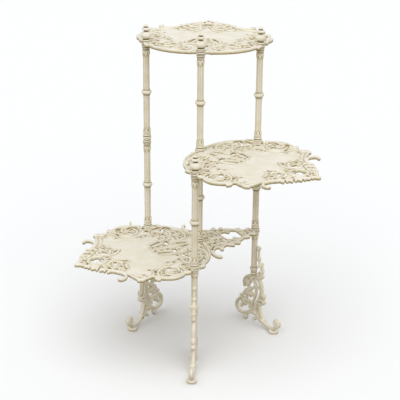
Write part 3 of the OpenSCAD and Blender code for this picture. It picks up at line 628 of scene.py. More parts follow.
@dataclass(frozen=True)
class Turning:
    """A piece turned on a lathe, with leaves and flat sides on its outside.

    The radius at height z and angle a is profile(z) + leaves(z, a) - flat(z, a), where the
    eight hollowed flats take off depth |cos(4 a)|^1.4 between two heights and end smoothly
    over the fade. The profile is a list of points (radius, height) and half-round mouldings
    (radius, low, high), the flats are (low, high, depth) and the marks of dirt and painted shade
    (height, reach).
    """

    profile: Sequence[Sequence[float]]
    bore: float = 0.0
    leaves: Sequence[LeafRing] = ()
    flats: Sequence[tuple[float, float, float]] = ()
    grime_and_shade: Sequence[tuple[float, float]] = ()
    film: float = 0.0
    pitch: float = 1.3
    sides: int = 64
    hollow_dirt_and_shade: float = 0.75
    down_facing_shade: float = 0.55
    mark_dirt_and_shade: float = 0.95
    fade: float = 3.0

    def shell(self) -> Shell:
        """Returns the turned piece as a closed shell."""
        points = [rolled(*p) if len(p) == 3 else [p] for p in self.profile]
        outline = np.array([point for part in points for point in part], float)
        leg = np.hypot(*np.diff(outline, axis=0).T)
        parts = np.maximum(1, np.ceil(leg / self.pitch)).astype(int)
        start = np.repeat(np.arange(len(parts)), parts)
        step = np.concatenate([np.arange(n) / n for n in parts])[:, None]
        rows = np.vstack([outline[start] * (1 - step) + outline[start + 1] * step, outline[-1:]])
        outer = len(rows)
        if self.bore:
            rows = np.vstack([rows, [[self.bore, outline[-1, 1]], [self.bore, outline[0, 1]]]])
        angle = np.arange(self.sides) * 2 * math.pi / self.sides
        z = np.repeat(rows[:, 1:], self.sides, axis=1)
        a = np.broadcast_to(angle, z.shape)
        carved = np.zeros(z.shape)
        for ring in self.leaves:
            carved = np.maximum(carved, ring.raised(z, a))
        for low, high, depth in self.flats:
            ends = ramp(z, low, low + self.fade) * (1 - ramp(z, high - self.fade, high))
            carved = carved - depth * np.abs(np.cos(4 * a)) ** 1.4 * ends * (carved < 0.05)
        carved[outer:] = 0
        carved = np.where(rows[:, :1] < self.bore + 0.5, 0, carved)
        r = rows[:, :1] + carved
        points = np.stack([r * np.cos(a), r * np.sin(a), z], 2)
        return skin(points, self._dirt_and_shade(rows, r, outer), ring=bool(self.bore))

    def _dirt_and_shade(self, rows: Array, r: Array, outer: int) -> Array:
        """Dirt and painted shade where the surface lies deeper than what is beside it.

        It is film + hollow_dirt_and_shade (average of the radius nearby - radius) +
        down_facing_shade (share that faces down, painted shade), held to 0..1, or
        mark_dirt_and_shade in a marked groove.

        Args:
            rows: radius and height of each row, before carving.
            r: radius of each point.
            outer: how many rows are outside.
        Returns:
            The grime and painted shade on each point.
        """
        smooth = np.vstack([blurred(r[:outer], 3), r[outer:]])
        run, rise = np.gradient(rows[:, 0]), np.gradient(rows[:, 1])
        # Painted shade: the share of the surface that faces down is darkened
        under = np.maximum(0, run / np.maximum(np.hypot(run, rise), 1e-6))[:, None]
        under = self.down_facing_shade * under * (np.arange(len(rows)) < outer)[:, None]
        dirt_and_shade = self.film + np.clip(self.hollow_dirt_and_shade * (smooth - r) + under, 0, 1)
        # Marks: dirt plus painted shade along grooves and joints
        for height, reach in self.grime_and_shade:
            mark = self.mark_dirt_and_shade * np.exp(-((rows[:, 1:] - height) / reach) ** 2)
            dirt_and_shade = np.maximum(dirt_and_shade, mark)
        return np.clip(dirt_and_shade, 0, 1)


def rolled(radius: float, low: float, high: float) -> list[tuple[float, float]]:
    """Profile of a half-round moulding between two heights.

    With h half its height and t from -75 to 75 degrees, a point lies at the radius
    radius - h (1 - cos t) and the height middle + h sin t.

    Args:
        radius: its greatest radius.
        low: where it starts.
        high: where it ends.
    Returns:
        The points of the profile.
    """
    h = (high - low) / 2
    turns = np.radians(np.linspace(-75, 75, 7))
    return [(radius - h * (1 - math.cos(t)), (low + high) / 2 + h * math.sin(t)) for t in turns]


def linear(hex_colour: str) -> tuple[float, float, float, float]:
    """Turns an sRGB colour, #RRGGBB, to the linear red, green, blue and alpha of a socket."""
    parts = [int(hex_colour[i:i + 2], 16) / 255 for i in (1, 3, 5)]
    return (*(c / 12.92 if c <= 0.04045 else ((c + 0.055) / 1.055) ** 2.4 for c in parts), 1.0)


def add_node(tree: bpy.types.NodeTree, kind: str, links: dict | None = None,
             **settings: object) -> bpy.types.Node:
    """Adds one node with its settings and its links.

    Args:
        tree: the node tree.
        kind: the node's type name, without "ShaderNode".
        links: what comes into its inputs, by socket name or number: a socket, a node (its
            first output is used), a number or a colour.
        settings: attributes of the node.
    Returns:
        The node.
    """
    node = tree.nodes.new("ShaderNode" + kind)
    for name, value in settings.items():
        setattr(node, name, value)
    for name, value in (links or {}).items():
        if isinstance(value, bpy.types.Node):
            value = value.outputs[0]
        if isinstance(value, bpy.types.NodeSocket):
            tree.links.new(value, node.inputs[name])
        else:
            node.inputs[name].default_value = value
    return node


NodeAdder = Callable[..., bpy.types.Node]


def emptied(owner: bpy.types.Material | bpy.types.World) -> NodeAdder:
    """Empties the nodes of a material or a world.

    Args:
        owner: the material or the world.
    Returns:
        The function that adds a node to it.
    """
    owner.use_nodes = True
    owner.node_tree.nodes.clear()
    return partial(add_node, owner.node_tree)


def seen_directly(add: NodeAdder) -> bpy.types.Node:
    """Finds the rays that show a thing to the eye, also in a mirror or through glass.

    Args:
        add: adds a node.
    Returns:
        The node that gives 1 for such a ray and 0 for any other.
    """
    rays = add("LightPath").outputs
    seen = rays["Is Camera Ray"]
    for other in ("Is Glossy Ray", "Is Transmission Ray"):
        seen = add("Math", {0: seen, 1: rays[other]}, operation="MAXIMUM")
    return seen


@dataclass(frozen=True)
class PaintedCastIron:
    """Old oil paint brushed over sand-cast iron: a satin cream coat that rounds every edge,
    with golden dirt and painted shade in the hollows, grooves and undersides, dark brown
    painted shade where they lie heaviest, and a faintly uneven surface under it."""

    coat: str = "#F6F1E4"
    worn_coat: str = "#EBE5D0"
    dirt_and_shade: str = "#A38E47"
    deepest_shade: str = "#65582E"
    bare: str = "#C2B083"
    grain_mm: float = 2.2
    patch_mm: float = 45.0
    lump_mm: float = 9.0
    worn_at: tuple[float, float] = (0.38, 0.68)
    dirt_and_shade_at: tuple[float, float] = (0.06, 0.85)
    deepest_shade_at: tuple[float, float] = (0.72, 1.1)
    speck_at: tuple[float, float] = (0.69, 0.74)
    roughness: tuple[float, float] = (0.46, 0.8)

    def material(self) -> bpy.types.Material:
        """Returns the material. The dirt and painted shade on a point is its grime_and_shade (0.62
        + 0.9 lump noise).
        """
        material = bpy.data.materials.new("painted_cast_iron")
        add = emptied(material)
        place = add("TexCoord").outputs["Object"]
        grime_and_shade = add("Attribute", attribute_name="grime_and_shade").outputs["Fac"]
        patch, lump, grain = (
            add("TexNoise", {"Vector": place, "Scale": 1 / (size * MM), "Detail": detail,
                             "Roughness": rough})
            for size, detail, rough in ((self.patch_mm, 5.0, 0.6), (self.lump_mm, 3.0, 0.5),
                                        (self.grain_mm, 2.0, 0.6)))
        uneven = add("Math", {0: lump, 1: 0.9}, operation="MULTIPLY")
        uneven = add("Math", {0: uneven, 1: 0.62}, operation="ADD")
        heavy = add("Math", {0: grime_and_shade, 1: uneven}, operation="MULTIPLY")
        worn, dirt_and_shade_share, deepest_shade, speck = (
            add("MapRange", {"Value": value, "From Min": low, "From Max": high, "To Max": most})
            for value, (low, high), most in (
                (patch, self.worn_at, 1.0), (heavy, self.dirt_and_shade_at, 1.0),
                (heavy, self.deepest_shade_at, 1.0), (grain, self.speck_at, 0.5)))
        # Golden colour for dirt and painted shade, then dark brown painted shade (deepest_shade)
        # where they are heaviest
        colour = linear(self.coat)
        for share, shade in ((worn, self.worn_coat), (dirt_and_shade_share, self.dirt_and_shade), (deepest_shade, self.deepest_shade),
                             (speck, self.bare)):
            colour = add("Mix", {"Factor": share, 6: colour, 7: linear(shade)},
                         data_type="RGBA").outputs[2]
        smooth, dull = self.roughness
        rough = add("MapRange", {"Value": dirt_and_shade_share, "To Min": smooth, "To Max": dull})
        bump = add("Bump", {"Height": grain, "Strength": 0.25, "Distance": 0.25 * MM})
        bump = add("Bump", {"Height": lump, "Strength": 0.3, "Distance": 0.9 * MM, "Normal": bump})
        shader = add("BsdfPrincipled", {"Base Color": colour, "Roughness": rough, "Normal": bump,
                                        "IOR": 1.45})
        add("OutputMaterial", {"Surface": shader})
        return material


@dataclass(frozen=True)
class PlatedSteel:
    """Zinc-plated steel of the tie rods, nut and washer: dull grey and finely drawn."""

    plate: str = "#A8A49A"
    dull: str = "#7F7A70"
    streak_mm: float = 3.0
    roughness: tuple[float, float] = (0.3, 0.5)

    def material(self) -> bpy.types.Material:
        """Returns the material, with streaks stretched along the rods."""
        material = bpy.data.materials.new("plated_steel")
        add = emptied(material)
        place = add("TexCoord").outputs["Object"]
        drawn = add("Mapping", {"Vector": place, "Scale": (1.0, 1.0, 0.05)})
        streak = add("TexNoise", {"Vector": drawn, "Scale": 1 / (self.streak_mm * MM),
                                  "Detail": 4.0})
        colour = add("Mix", {"Factor": streak, 6: linear(self.plate), 7: linear(self.dull)},
                     data_type="RGBA").outputs[2]
        smooth, dull = self.roughness
        rough = add("MapRange", {"Value": streak, "To Min": smooth, "To Max": dull})
        shader = add("BsdfPrincipled", {"Base Color": colour, "Roughness": rough, "Metallic": 1.0})
        add("OutputMaterial", {"Surface": shader})
        return material


@dataclass(frozen=True)
class StudioFloor:
    """White studio floor: the camera sees it glow white, less the shadow that falls on it."""

    paper: str = "#A89F8B"
    shade: str = "#E9EAEB"
    level: float = 0.03

    def material(self) -> bpy.types.Material:
        """Returns the material; other rays meet plain pale paper."""
        material = bpy.data.materials.new("studio_floor")
        add = emptied(material)
        paper = add("BsdfDiffuse", {"Color": linear(self.paper)})
        veiled = add("BsdfDiffuse", {"Color": linear(self.shade)})
        glow = add("Emission", {"Color": linear("#FFFFFF"), "Strength": self.level})
        shown = add("AddShader", {0: veiled, 1: glow})
        mixed = add("MixShader", {0: seen_directly(add), 1: paper, 2: shown})
        add("OutputMaterial", {"Surface": mixed})
        return material


@dataclass
class Dresser:
    """Puts shells into the scene as pieces of the object, in the painted iron finish."""

    paint: bpy.types.Material

    def add(self, name: str, shell: Shell, *nodes: str, crease: float = 0.0) -> bpy.types.Object:
        """Makes a piece from a shell and lets it stand for CAD nodes.

        Args:
            name: the piece's name.
            shell: its mesh, in millimetres.
            nodes: the CAD nodes that it replaces.
            crease: edges sharper than this many degrees stay sharp; 0 keeps all smooth.
        Returns:
            The Blender object.
        """
        mesh = bpy.data.meshes.new(name)
        count = len(shell.faces)
        mesh.vertices.add(len(shell.verts))
        mesh.vertices.foreach_set("co", (shell.verts * MM).astype(np.float32).ravel())
        mesh.loops.add(3 * count)
        mesh.loops.foreach_set("vertex_index", shell.faces.astype(np.int32).ravel())
        mesh.polygons.add(count)
        mesh.polygons.foreach_set("loop_start", np.arange(0, 3 * count, 3, dtype=np.int32))
        mesh.polygons.foreach_set("use_smooth", np.ones(count, bool))
        mesh.update(calc_edges=True)
        # Attribute of dirt and painted shade, from 0 to 1, that the paint reads
        grime_and_shade = mesh.attributes.new("grime_and_shade", "FLOAT", "POINT")
        grime_and_shade.data.foreach_set("value", shell.grime_and_shade.astype(np.float32))
        if crease:
            mesh.set_sharp_from_angle(angle=math.radians(crease))
        mesh.materials.append(self.paint)
        piece = bpy.data.objects.new(name, mesh)
        bpy.context.scene.collection.objects.link(piece)
        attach(piece, "root")
        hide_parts(*nodes)
        log.info("%s: %d triangles", name, count)
        return piece


@dataclass(frozen=True)
class Spot:
    """Where a node stands, in millimetres: its axis and its lowest and highest points."""

    x: float
    y: float
    low: float
    high: float

    @staticmethod
    def of(node: str) -> "Spot":
        """Returns the spot of a round CAD node."""
        lo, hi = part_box(node)
        return Spot((lo[0] + hi[0]) / 2 / MM, (lo[1] + hi[1]) / 2 / MM, lo[2] / MM, hi[2] / MM)


@dataclass
class ShelfCasting:
    """Pierced shelf: a 4 mm plate with a rolled rim, raised scrolls and three round lugs.

    A field in _up says how far a back stands over the relief's height, and one in
    _dirt_and_shade is the most dirt and painted shade that a place of that kind gets;
    under_side_shade is painted shade under the sides.
    """

    spread: float
    plate_t: float = 4.0
    rim_w: float = 5.0
    relief_h: float = 2.6
    lip_h: float = 3.0
    hole_lip_h: float = 1.2
    hole_lip_w: float = 5.5
    vein_t: float = 0.15
    scroll_up: float = 0.6
    band_up: float = 0.8
    round_up: float = 1.6
    hollow_dirt_and_shade: float = 1.15
    hole_dirt_and_shade: float = 0.5
    foot_dirt_and_shade: float = 0.3
    vein_dirt_and_shade: float = 0.12
    lug_d: float = 32.0
    lug_h: float = 14.0
    lug_waist: float = 4.4
    lap_clear: float = 0.2
    bore: float = 4.3
    bulge: float = 1.4
    under_side_shade: float = 0.45
    step: float = 1.75
    rounds: tuple[Stroke, ...] = (SHELF_HOOK, *SHELF_LEAVES, *dots(SHELF_KNOBS))

    @property
    def side_lug(self) -> tuple[float, float]:
        """Returns the place of the side lug on the +Y half, 60 degrees off the axis."""
        return self.spread * math.cos(math.radians(60)), self.spread * math.sin(math.radians(60))

    def waist(self, sheet: Sheet, x: float, y: float) -> Array:
        """Returns the depth inside the narrowest circle of a lug at x and y."""
        return self.lug_d / 2 - self.lug_waist - np.hypot(sheet.x - x, sheet.y - y)

    def outline(self, sheet: Sheet) -> Array:
        """Returns the depth inside the shelf's outline, its hooks, leaves and lugs."""
        depth = sheet.polygon(both_halves(SHELF_EDGE))
        depth = np.maximum(depth, sheet.strokes(self.rounds)[0])
        for place in ((0.0, 0.0), self.side_lug):
            depth = np.maximum(depth, self.waist(sheet, *place))
        return depth

    def piercing(self, sheet: Sheet) -> Array:
        """Returns the depth inside the shelf's holes, slots and windows."""
        holes = sheet.holes(SHELF_HOLES)
        return np.maximum(holes, sheet.strokes([*SHELF_SLOTS, *SHELF_WINDOWS])[0])

    def relief(self, sheet: Sheet) -> Array:
        """Returns how high the scrolls, bands, leaves, hook and knobs stand on the plate."""
        high = self.relief_h
        return np.maximum.reduce([
            sheet.strokes(SHELF_SCROLLS, base=high + self.scroll_up)[1],
            sheet.strokes(SHELF_BANDS, base=high + self.band_up)[1],
            sheet.strokes(self.rounds, base=high + self.round_up)[1],
        ])

    def cast(self, sheet: Sheet, outer: Array, holes: Array, back: Array,
             veins: Array) -> Shell:
        """Makes a pierced plate with a rim, scrolls, lips round its holes, and veins.

        Dirt and painted shade lie where the plate is lower than the average nearby, beside the
        holes, along the foot of the rim and in the veins; painted shade also darkens under the
        sides.

        Args:
            sheet: the grid of the plate's half.
            outer: depth inside the outline.
            holes: depth inside the holes.
            back: height of the scrolls' backs.
            veins: height of the veins' strokes.
        Returns:
            The plate with its mirror image.
        """
        rim = (self.relief_h + self.band_up) * bead(outer, self.rim_w + 1.5)
        lips = self.hole_lip_h * bead(-holes, self.hole_lip_w)
        raised = np.maximum.reduce([rim, back, lips]) - self.vein_t * veins
        top = self.plate_t / 2 + raised
        lip = self.lip_h * (1 - ramp(outer, self.rim_w * 0.8, self.rim_w * 1.4))
        bottom = -(self.plate_t / 2 + lip)
        from_hole = np.maximum(-holes - self.bulge, 0)
        # Dirt plus painted shade in the hollows, beside the holes, at the rim's foot and in the
        # veins
        hollow = np.clip((blurred(raised, 2) - raised) * self.hollow_dirt_and_shade, 0, 1)
        hollow = hollow * (0.25 + 0.75 * np.exp(-from_hole / 9))
        foot = self.foot_dirt_and_shade * np.exp(-((outer - self.rim_w - 2.2) / 1.8) ** 2)
        beside = self.hole_dirt_and_shade * np.exp(-from_hole / 1.1)
        grime_and_shade = np.maximum.reduce([hollow, beside, foot, self.vein_dirt_and_shade * veins])
        fields = (np.minimum(outer, -holes), top, bottom, np.clip(grime_and_shade, 0, 1))
        return cut_shell(*sheet.mirrored(*fields), sheet.step, self.bulge, self.under_side_shade)

    def lug(self, low: float, high: float) -> Shell:
        """Builds a lug, with three mouldings whose heights are shares of its own.

        Args:
            low: where the lug starts.
            high: where it ends.
        Returns:
            The lug as a turned ring.
        """
        r = self.lug_d / 2
        tall = high - low
        waist = r - self.lug_waist
        shares = ((r - 4.6, 0), (waist, 0.04), (r - 2.2, 0.06, 0.24), (waist, 0.27), (waist, 0.34),
                  (r, 0.37, 0.62), (r - 3.8, 0.66), (r - 3.8, 0.73), (r - 1.4, 0.76, 0.94),
                  (r - 4.6, 1))
        shape = [(at, *(low + share * tall for share in heights)) for at, *heights in shares]
        shape = [(self.bore, low), *shape, (self.bore, high)]
        marks = ((low, 0.9), (low + 0.3 * tall, 1.0), (low + 0.69 * tall, 1.0), (high, 1.0))
        return Turning(shape, self.bore, grime_and_shade=marks, pitch=1.0).shell()

    def plate(self) -> Shell:
        """Returns the pierced plate with its axis along +X."""
        sheet = Sheet(SHELF_FIELD, self.step)
        return self.cast(sheet, self.outline(sheet), self.piercing(sheet), self.relief(sheet),
                         sheet.strokes(SHELF_VEINS)[1])

    def shell(self, plate: Shell, half_lap: bool) -> Shell:
        """Adds the lugs to the plate.

        Args:
            plate: the pierced plate.
            half_lap: whether the centre lug leaves room for the stretcher's; that shelf also
                has a leaf tip that stands up.
        Returns:
            The whole shelf.
        """
        half = self.lug_h / 2
        x, y = self.side_lug
        side = self.lug(-half, half)
        parts = [plate, self.lug(self.lap_clear if half_lap else -half, half), side.moved(x, y, 0),
                 side.moved(x, -y, 0)]
        if half_lap:
            tip = Turning(TIP_PROFILE, pitch=1.0, sides=24).shell()
            parts.append(tip.moved(*SHELF_TIP, 0))
        return Shell.joined(parts)


@dataclass
class StretcherCasting:
    """Pierced tapering stretcher, made as the shelf beside it is."""

    shelf: ShelfCasting
    lap_gap: float = 0.6
    flat_gap: float = 0.3
    tongue: tuple[float, float] = (36.0, 18.0)
    step: float = 1.6

    def shell(self) -> Shell:
        """Returns the stretcher with its foot lug at the origin, running towards -X."""
        sheet = Sheet(BRIDGE_FIELD, self.step)
        body = sheet.polygon(both_halves(BRIDGE_EDGE))
        body = np.maximum(body, sheet.strokes(BRIDGE_LEAVES)[0])
        body = np.maximum(body, self.shelf.waist(sheet, -self.shelf.spread, 0))
        outer = np.minimum(body, -self.shelf.outline(sheet) - self.lap_gap)
        window = sheet.polygon(both_halves(BRIDGE_WINDOW))
        holes = np.maximum(sheet.holes(BRIDGE_HOLES), window)
        back = sheet.strokes(BRIDGE_SCROLLS, base=self.shelf.relief_h)[1]
        plate = self.shelf.cast(sheet, outer, holes, back, veins=0 * outer)
        half_lug = self.shelf.lug_h / 2
        near = self.shelf.lug(-half_lug, -self.flat_gap / 2)
        far = self.shelf.lug(-half_lug, half_lug).moved(-self.shelf.spread, 0, 0)
        return Shell.joined([plate, near, far, self._tongue(half_lug)])

    def _tongue(self, half_lug: float) -> Shell:
        """Returns the short arm that carries the plate from under the centre lug.

        It is a bar whose half width and height shrink by (1 - (2u - 1)^8)^(1/4) to its ends,
        with u its length from 0 to 1, and whose cross-section is a rounded square.

        Args:
            half_lug: how far a lug reaches below the plate's middle.
        Returns:
            The arm as a closed shell.
        """
        length, width = self.tongue
        rows, sides = 15, 24
        u = np.linspace(0, 1, rows)[:, None]
        grow = np.maximum(0, 1 - (2 * u - 1) ** 8) ** 0.25
        a = np.arange(sides) * 2 * math.pi / sides
        square = np.maximum(np.abs(np.cos(a)), np.abs(np.sin(a))) ** 0.8
        y = width / 2 * np.cos(a) / square * grow
        z = -half_lug / 2 - 0.1 + (half_lug / 2 - 0.1) * np.sin(a) / square * grow
        x = np.repeat(-self.shelf.lug_d / 4 - length + length * u, sides, axis=1)
        return skin(np.stack([x, y, z], 2), np.zeros(x.shape))


@dataclass
class LegCasting:
    """Scrolled leg: round-backed strokes in one plane, a cup on top and a round foot pad.

    A field in _up says how far a back stands over half the web's thickness, one in _half is
    half the width of a cut line and one in _t its depth, and one in _dirt_and_shade is dirt and
    painted shade.
    """

    height: float
    web_t: float = 12.0
    post_d: float = 20.0
    cup_d: float = 28.0
    cup_depth: float = 8.0
    pad_d: float = 32.0
    pad_h: float = 9.0
    pad_reach: float = 100.0
    gap: float = 0.3
    bulge: float = 1.5
    groove_half: float = 1.7
    groove_t: float = 2.2
    vein_half: float = 1.3
    vein_t: float = 1.2
    least_half_t: float = 2.0
    strap_up: float = 1.4
    leaf_up: float = 1.8
    bead_up: float = 2.5
    button_up: float = 3.0
    hollow_dirt_and_shade: float = 0.6
    groove_dirt_and_shade: float = 0.4
    vein_dirt_and_shade: float = 0.35
    edge_dirt_and_shade: float = 0.3
    step: float = 1.05

    def __post_init__(self) -> None:
        """Works out how much the drawn leg is scaled."""
        self.scale = self.height / LEG_DRAWN

    def _volutes(self, sheet: Sheet) -> tuple[Array, Array]:
        """Depth and half thickness of the round ends that carry a spiral.

        With q the distance from the middle over the radius, u the turn about it from -0.5 to
        0.5, H half the web's thickness and B what the button adds to it, the back is
        (H - 2.5 + 5 sqrt(1 - q^2)) (0.8 + 0.2 |cos(pi (1.7 q - u))|), and a button of about a
        third of the radius stands at (H + B) sqrt(1 - (3 q)^2) in its middle.

        Args:
            sheet: the grid of the drawn leg.
        Returns:
            The depth and the half thickness at every grid point.
        """
        depth, back = np.full(sheet.x.shape, -1e3), np.zeros(sheet.x.shape)
        most = self.web_t / 2
        for x, y, r in LEG_VOLUTES:
            far = np.hypot(sheet.x - x, sheet.y - y)
            q, u = far / r, np.arctan2(sheet.y - y, sheet.x - x) / (2 * math.pi)
            dome = most - 2.5 + 5 * np.sqrt(np.maximum(0, 1 - q ** 2))
            ridge = dome * (0.8 + 0.2 * np.abs(np.cos(math.pi * (1.7 * q - u))))
            button = (most + self.button_up) * np.sqrt(np.maximum(0, 1 - (3 * q) ** 2))
            depth = np.maximum(depth, r - far)
            back = np.maximum(back, np.where(q < 0.3, button, ridge) * (q < 1))
        return depth, back

    def web(self) -> Shell:
        """Returns the scrolled web, standing, with its foot along +X."""
        sheet = Sheet(LEG_FIELD, self.step / self.scale)
        most = self.web_t / 2
        strap = most + self.strap_up
        layers = (
            sheet.strokes(LEG_STRAPS, base=strap, flat=0.55),
            sheet.strokes(LEG_CURLS, base=2.6, rate=0.9, cap=strap, flat=0.35),
            sheet.strokes(LEG_LEAVES, base=3.2, rate=0.8, cap=most + self.leaf_up, flat=0.3),
            sheet.strokes(dots(LEG_BEADS), base=0.4, rate=1.0, cap=most + self.bead_up),
            self._volutes(sheet),
        )
        metal = np.maximum.reduce([depth for depth, _ in layers])
        back = np.maximum.reduce([height for _, height in layers])
        grooves = sheet.lines(LEG_STRAPS, self.groove_half) * (back <= strap)
        veins = sheet.lines(LEG_LEAVES, self.vein_half) * (back < most)
        half = back - self.groove_t * grooves - self.vein_t * veins
        half = blurred(np.maximum(half, self.least_half_t), 1)
        post = np.minimum((self.post_d / 2 + self.gap) / self.scale - np.abs(sheet.x),
                          sheet.y - (self.height - self.cup_depth) / self.scale)
        depth = np.minimum.reduce([metal, -post, sheet.y - 1])
        # Dirt plus painted shade in the hollows, the cut lines and along the web's edges
        hollow = np.clip((blurred(half, 2) - half) * self.hollow_dirt_and_shade, 0, 0.8)
        hollow = hollow * ramp(metal, 0.5, 3)
        cut = np.maximum(self.groove_dirt_and_shade * grooves, self.vein_dirt_and_shade * veins)
        edge = self.edge_dirt_and_shade * np.exp(-(np.maximum(depth - self.bulge, 0) / 0.8) ** 2)
        grime_and_shade = np.clip(np.maximum.reduce([hollow, cut, edge]), 0, 1)
        shell = cut_shell(sheet.x, sheet.y, depth, half, -half, grime_and_shade, self.step / self.scale,
                          self.bulge)
        wide = np.array([self.scale, self.scale, 1.0])
        return Shell(shell.verts * wide, shell.faces, shell.grime_and_shade).stood_up()

    def cup(self) -> Shell:
        """Returns the tapering neck, its ring and the cup that holds the post."""
        top, seat = self.height, self.height - self.cup_depth
        r, post = self.cup_d / 2, self.post_d / 2 + self.gap
        low = LEG_STRAPS[0][5][1] * self.scale - 8
        ring = top - 2 * self.cup_depth
        neck = r - 3
        shape = ((0, low), (r - 8, low), (neck - 1.5, ring - 10), (neck + 0.4, ring - 9, ring),
                 (neck - 1, ring + 1.5), (r - 2.6, top - 8.5), (r, top - 7.5, top - 0.2),
                 (post, top), (post, seat), (0, seat))
        marks = ((ring - 9.6, 1.0), (ring + 0.8, 1.2))
        return Turning(shape, grime_and_shade=marks, pitch=1.0).shell()

    def pad(self) -> Shell:
        """Returns the round foot pad with a groove round its edge."""
        r, h = self.pad_d / 2, self.pad_h
        shape = ((0, 0), (r - 1, 0), (r, 1), (r, h * 0.4), (r - 1.4, h * 0.5), (r - 0.4, h * 0.62),
                 (r - 1.0, h * 0.8), (r - 2.4, h * 0.9), (r - 4.4, h * 0.9), (r * 0.6, h), (0, h))
        return Turning(shape, grime_and_shade=((h * 0.5, 1.0),)).shell()

    def collar(self, width: float, radius: float) -> Shell:
        """Returns a lobed knuckle across the web, its axis along Z.

        It is a ball squeezed to the radius: radius (1 - (2 z / width)^2)^0.4 at the height z.

        Args:
            width: its length along its axis.
            radius: its greatest radius.
        Returns:
            The knuckle as a turned piece.
        """
        z = np.sin(np.radians(np.linspace(-90, 90, 19))) * width / 2
        reach = radius * np.maximum(0, 1 - (2 * z / width) ** 2) ** 0.4
        return Turning(np.stack([reach, z], 1), flats=((-width / 2 + 1, width / 2 - 1, 1.2),),
                       pitch=1.0, sides=48).shell()

    def shell(self) -> Shell:
        """Returns the whole leg with the post's axis at the origin."""
        parts = [self.web(), self.cup(), self.pad().moved(self.pad_reach * self.scale, 0, 0)]
        for x, z, width, radius in LEG_COLLARS:
            knuckle = self.collar(width, radius).stood_up()
            parts.append(knuckle.moved(x * self.scale, 0, z * self.scale))
        return Shell.joined(parts)


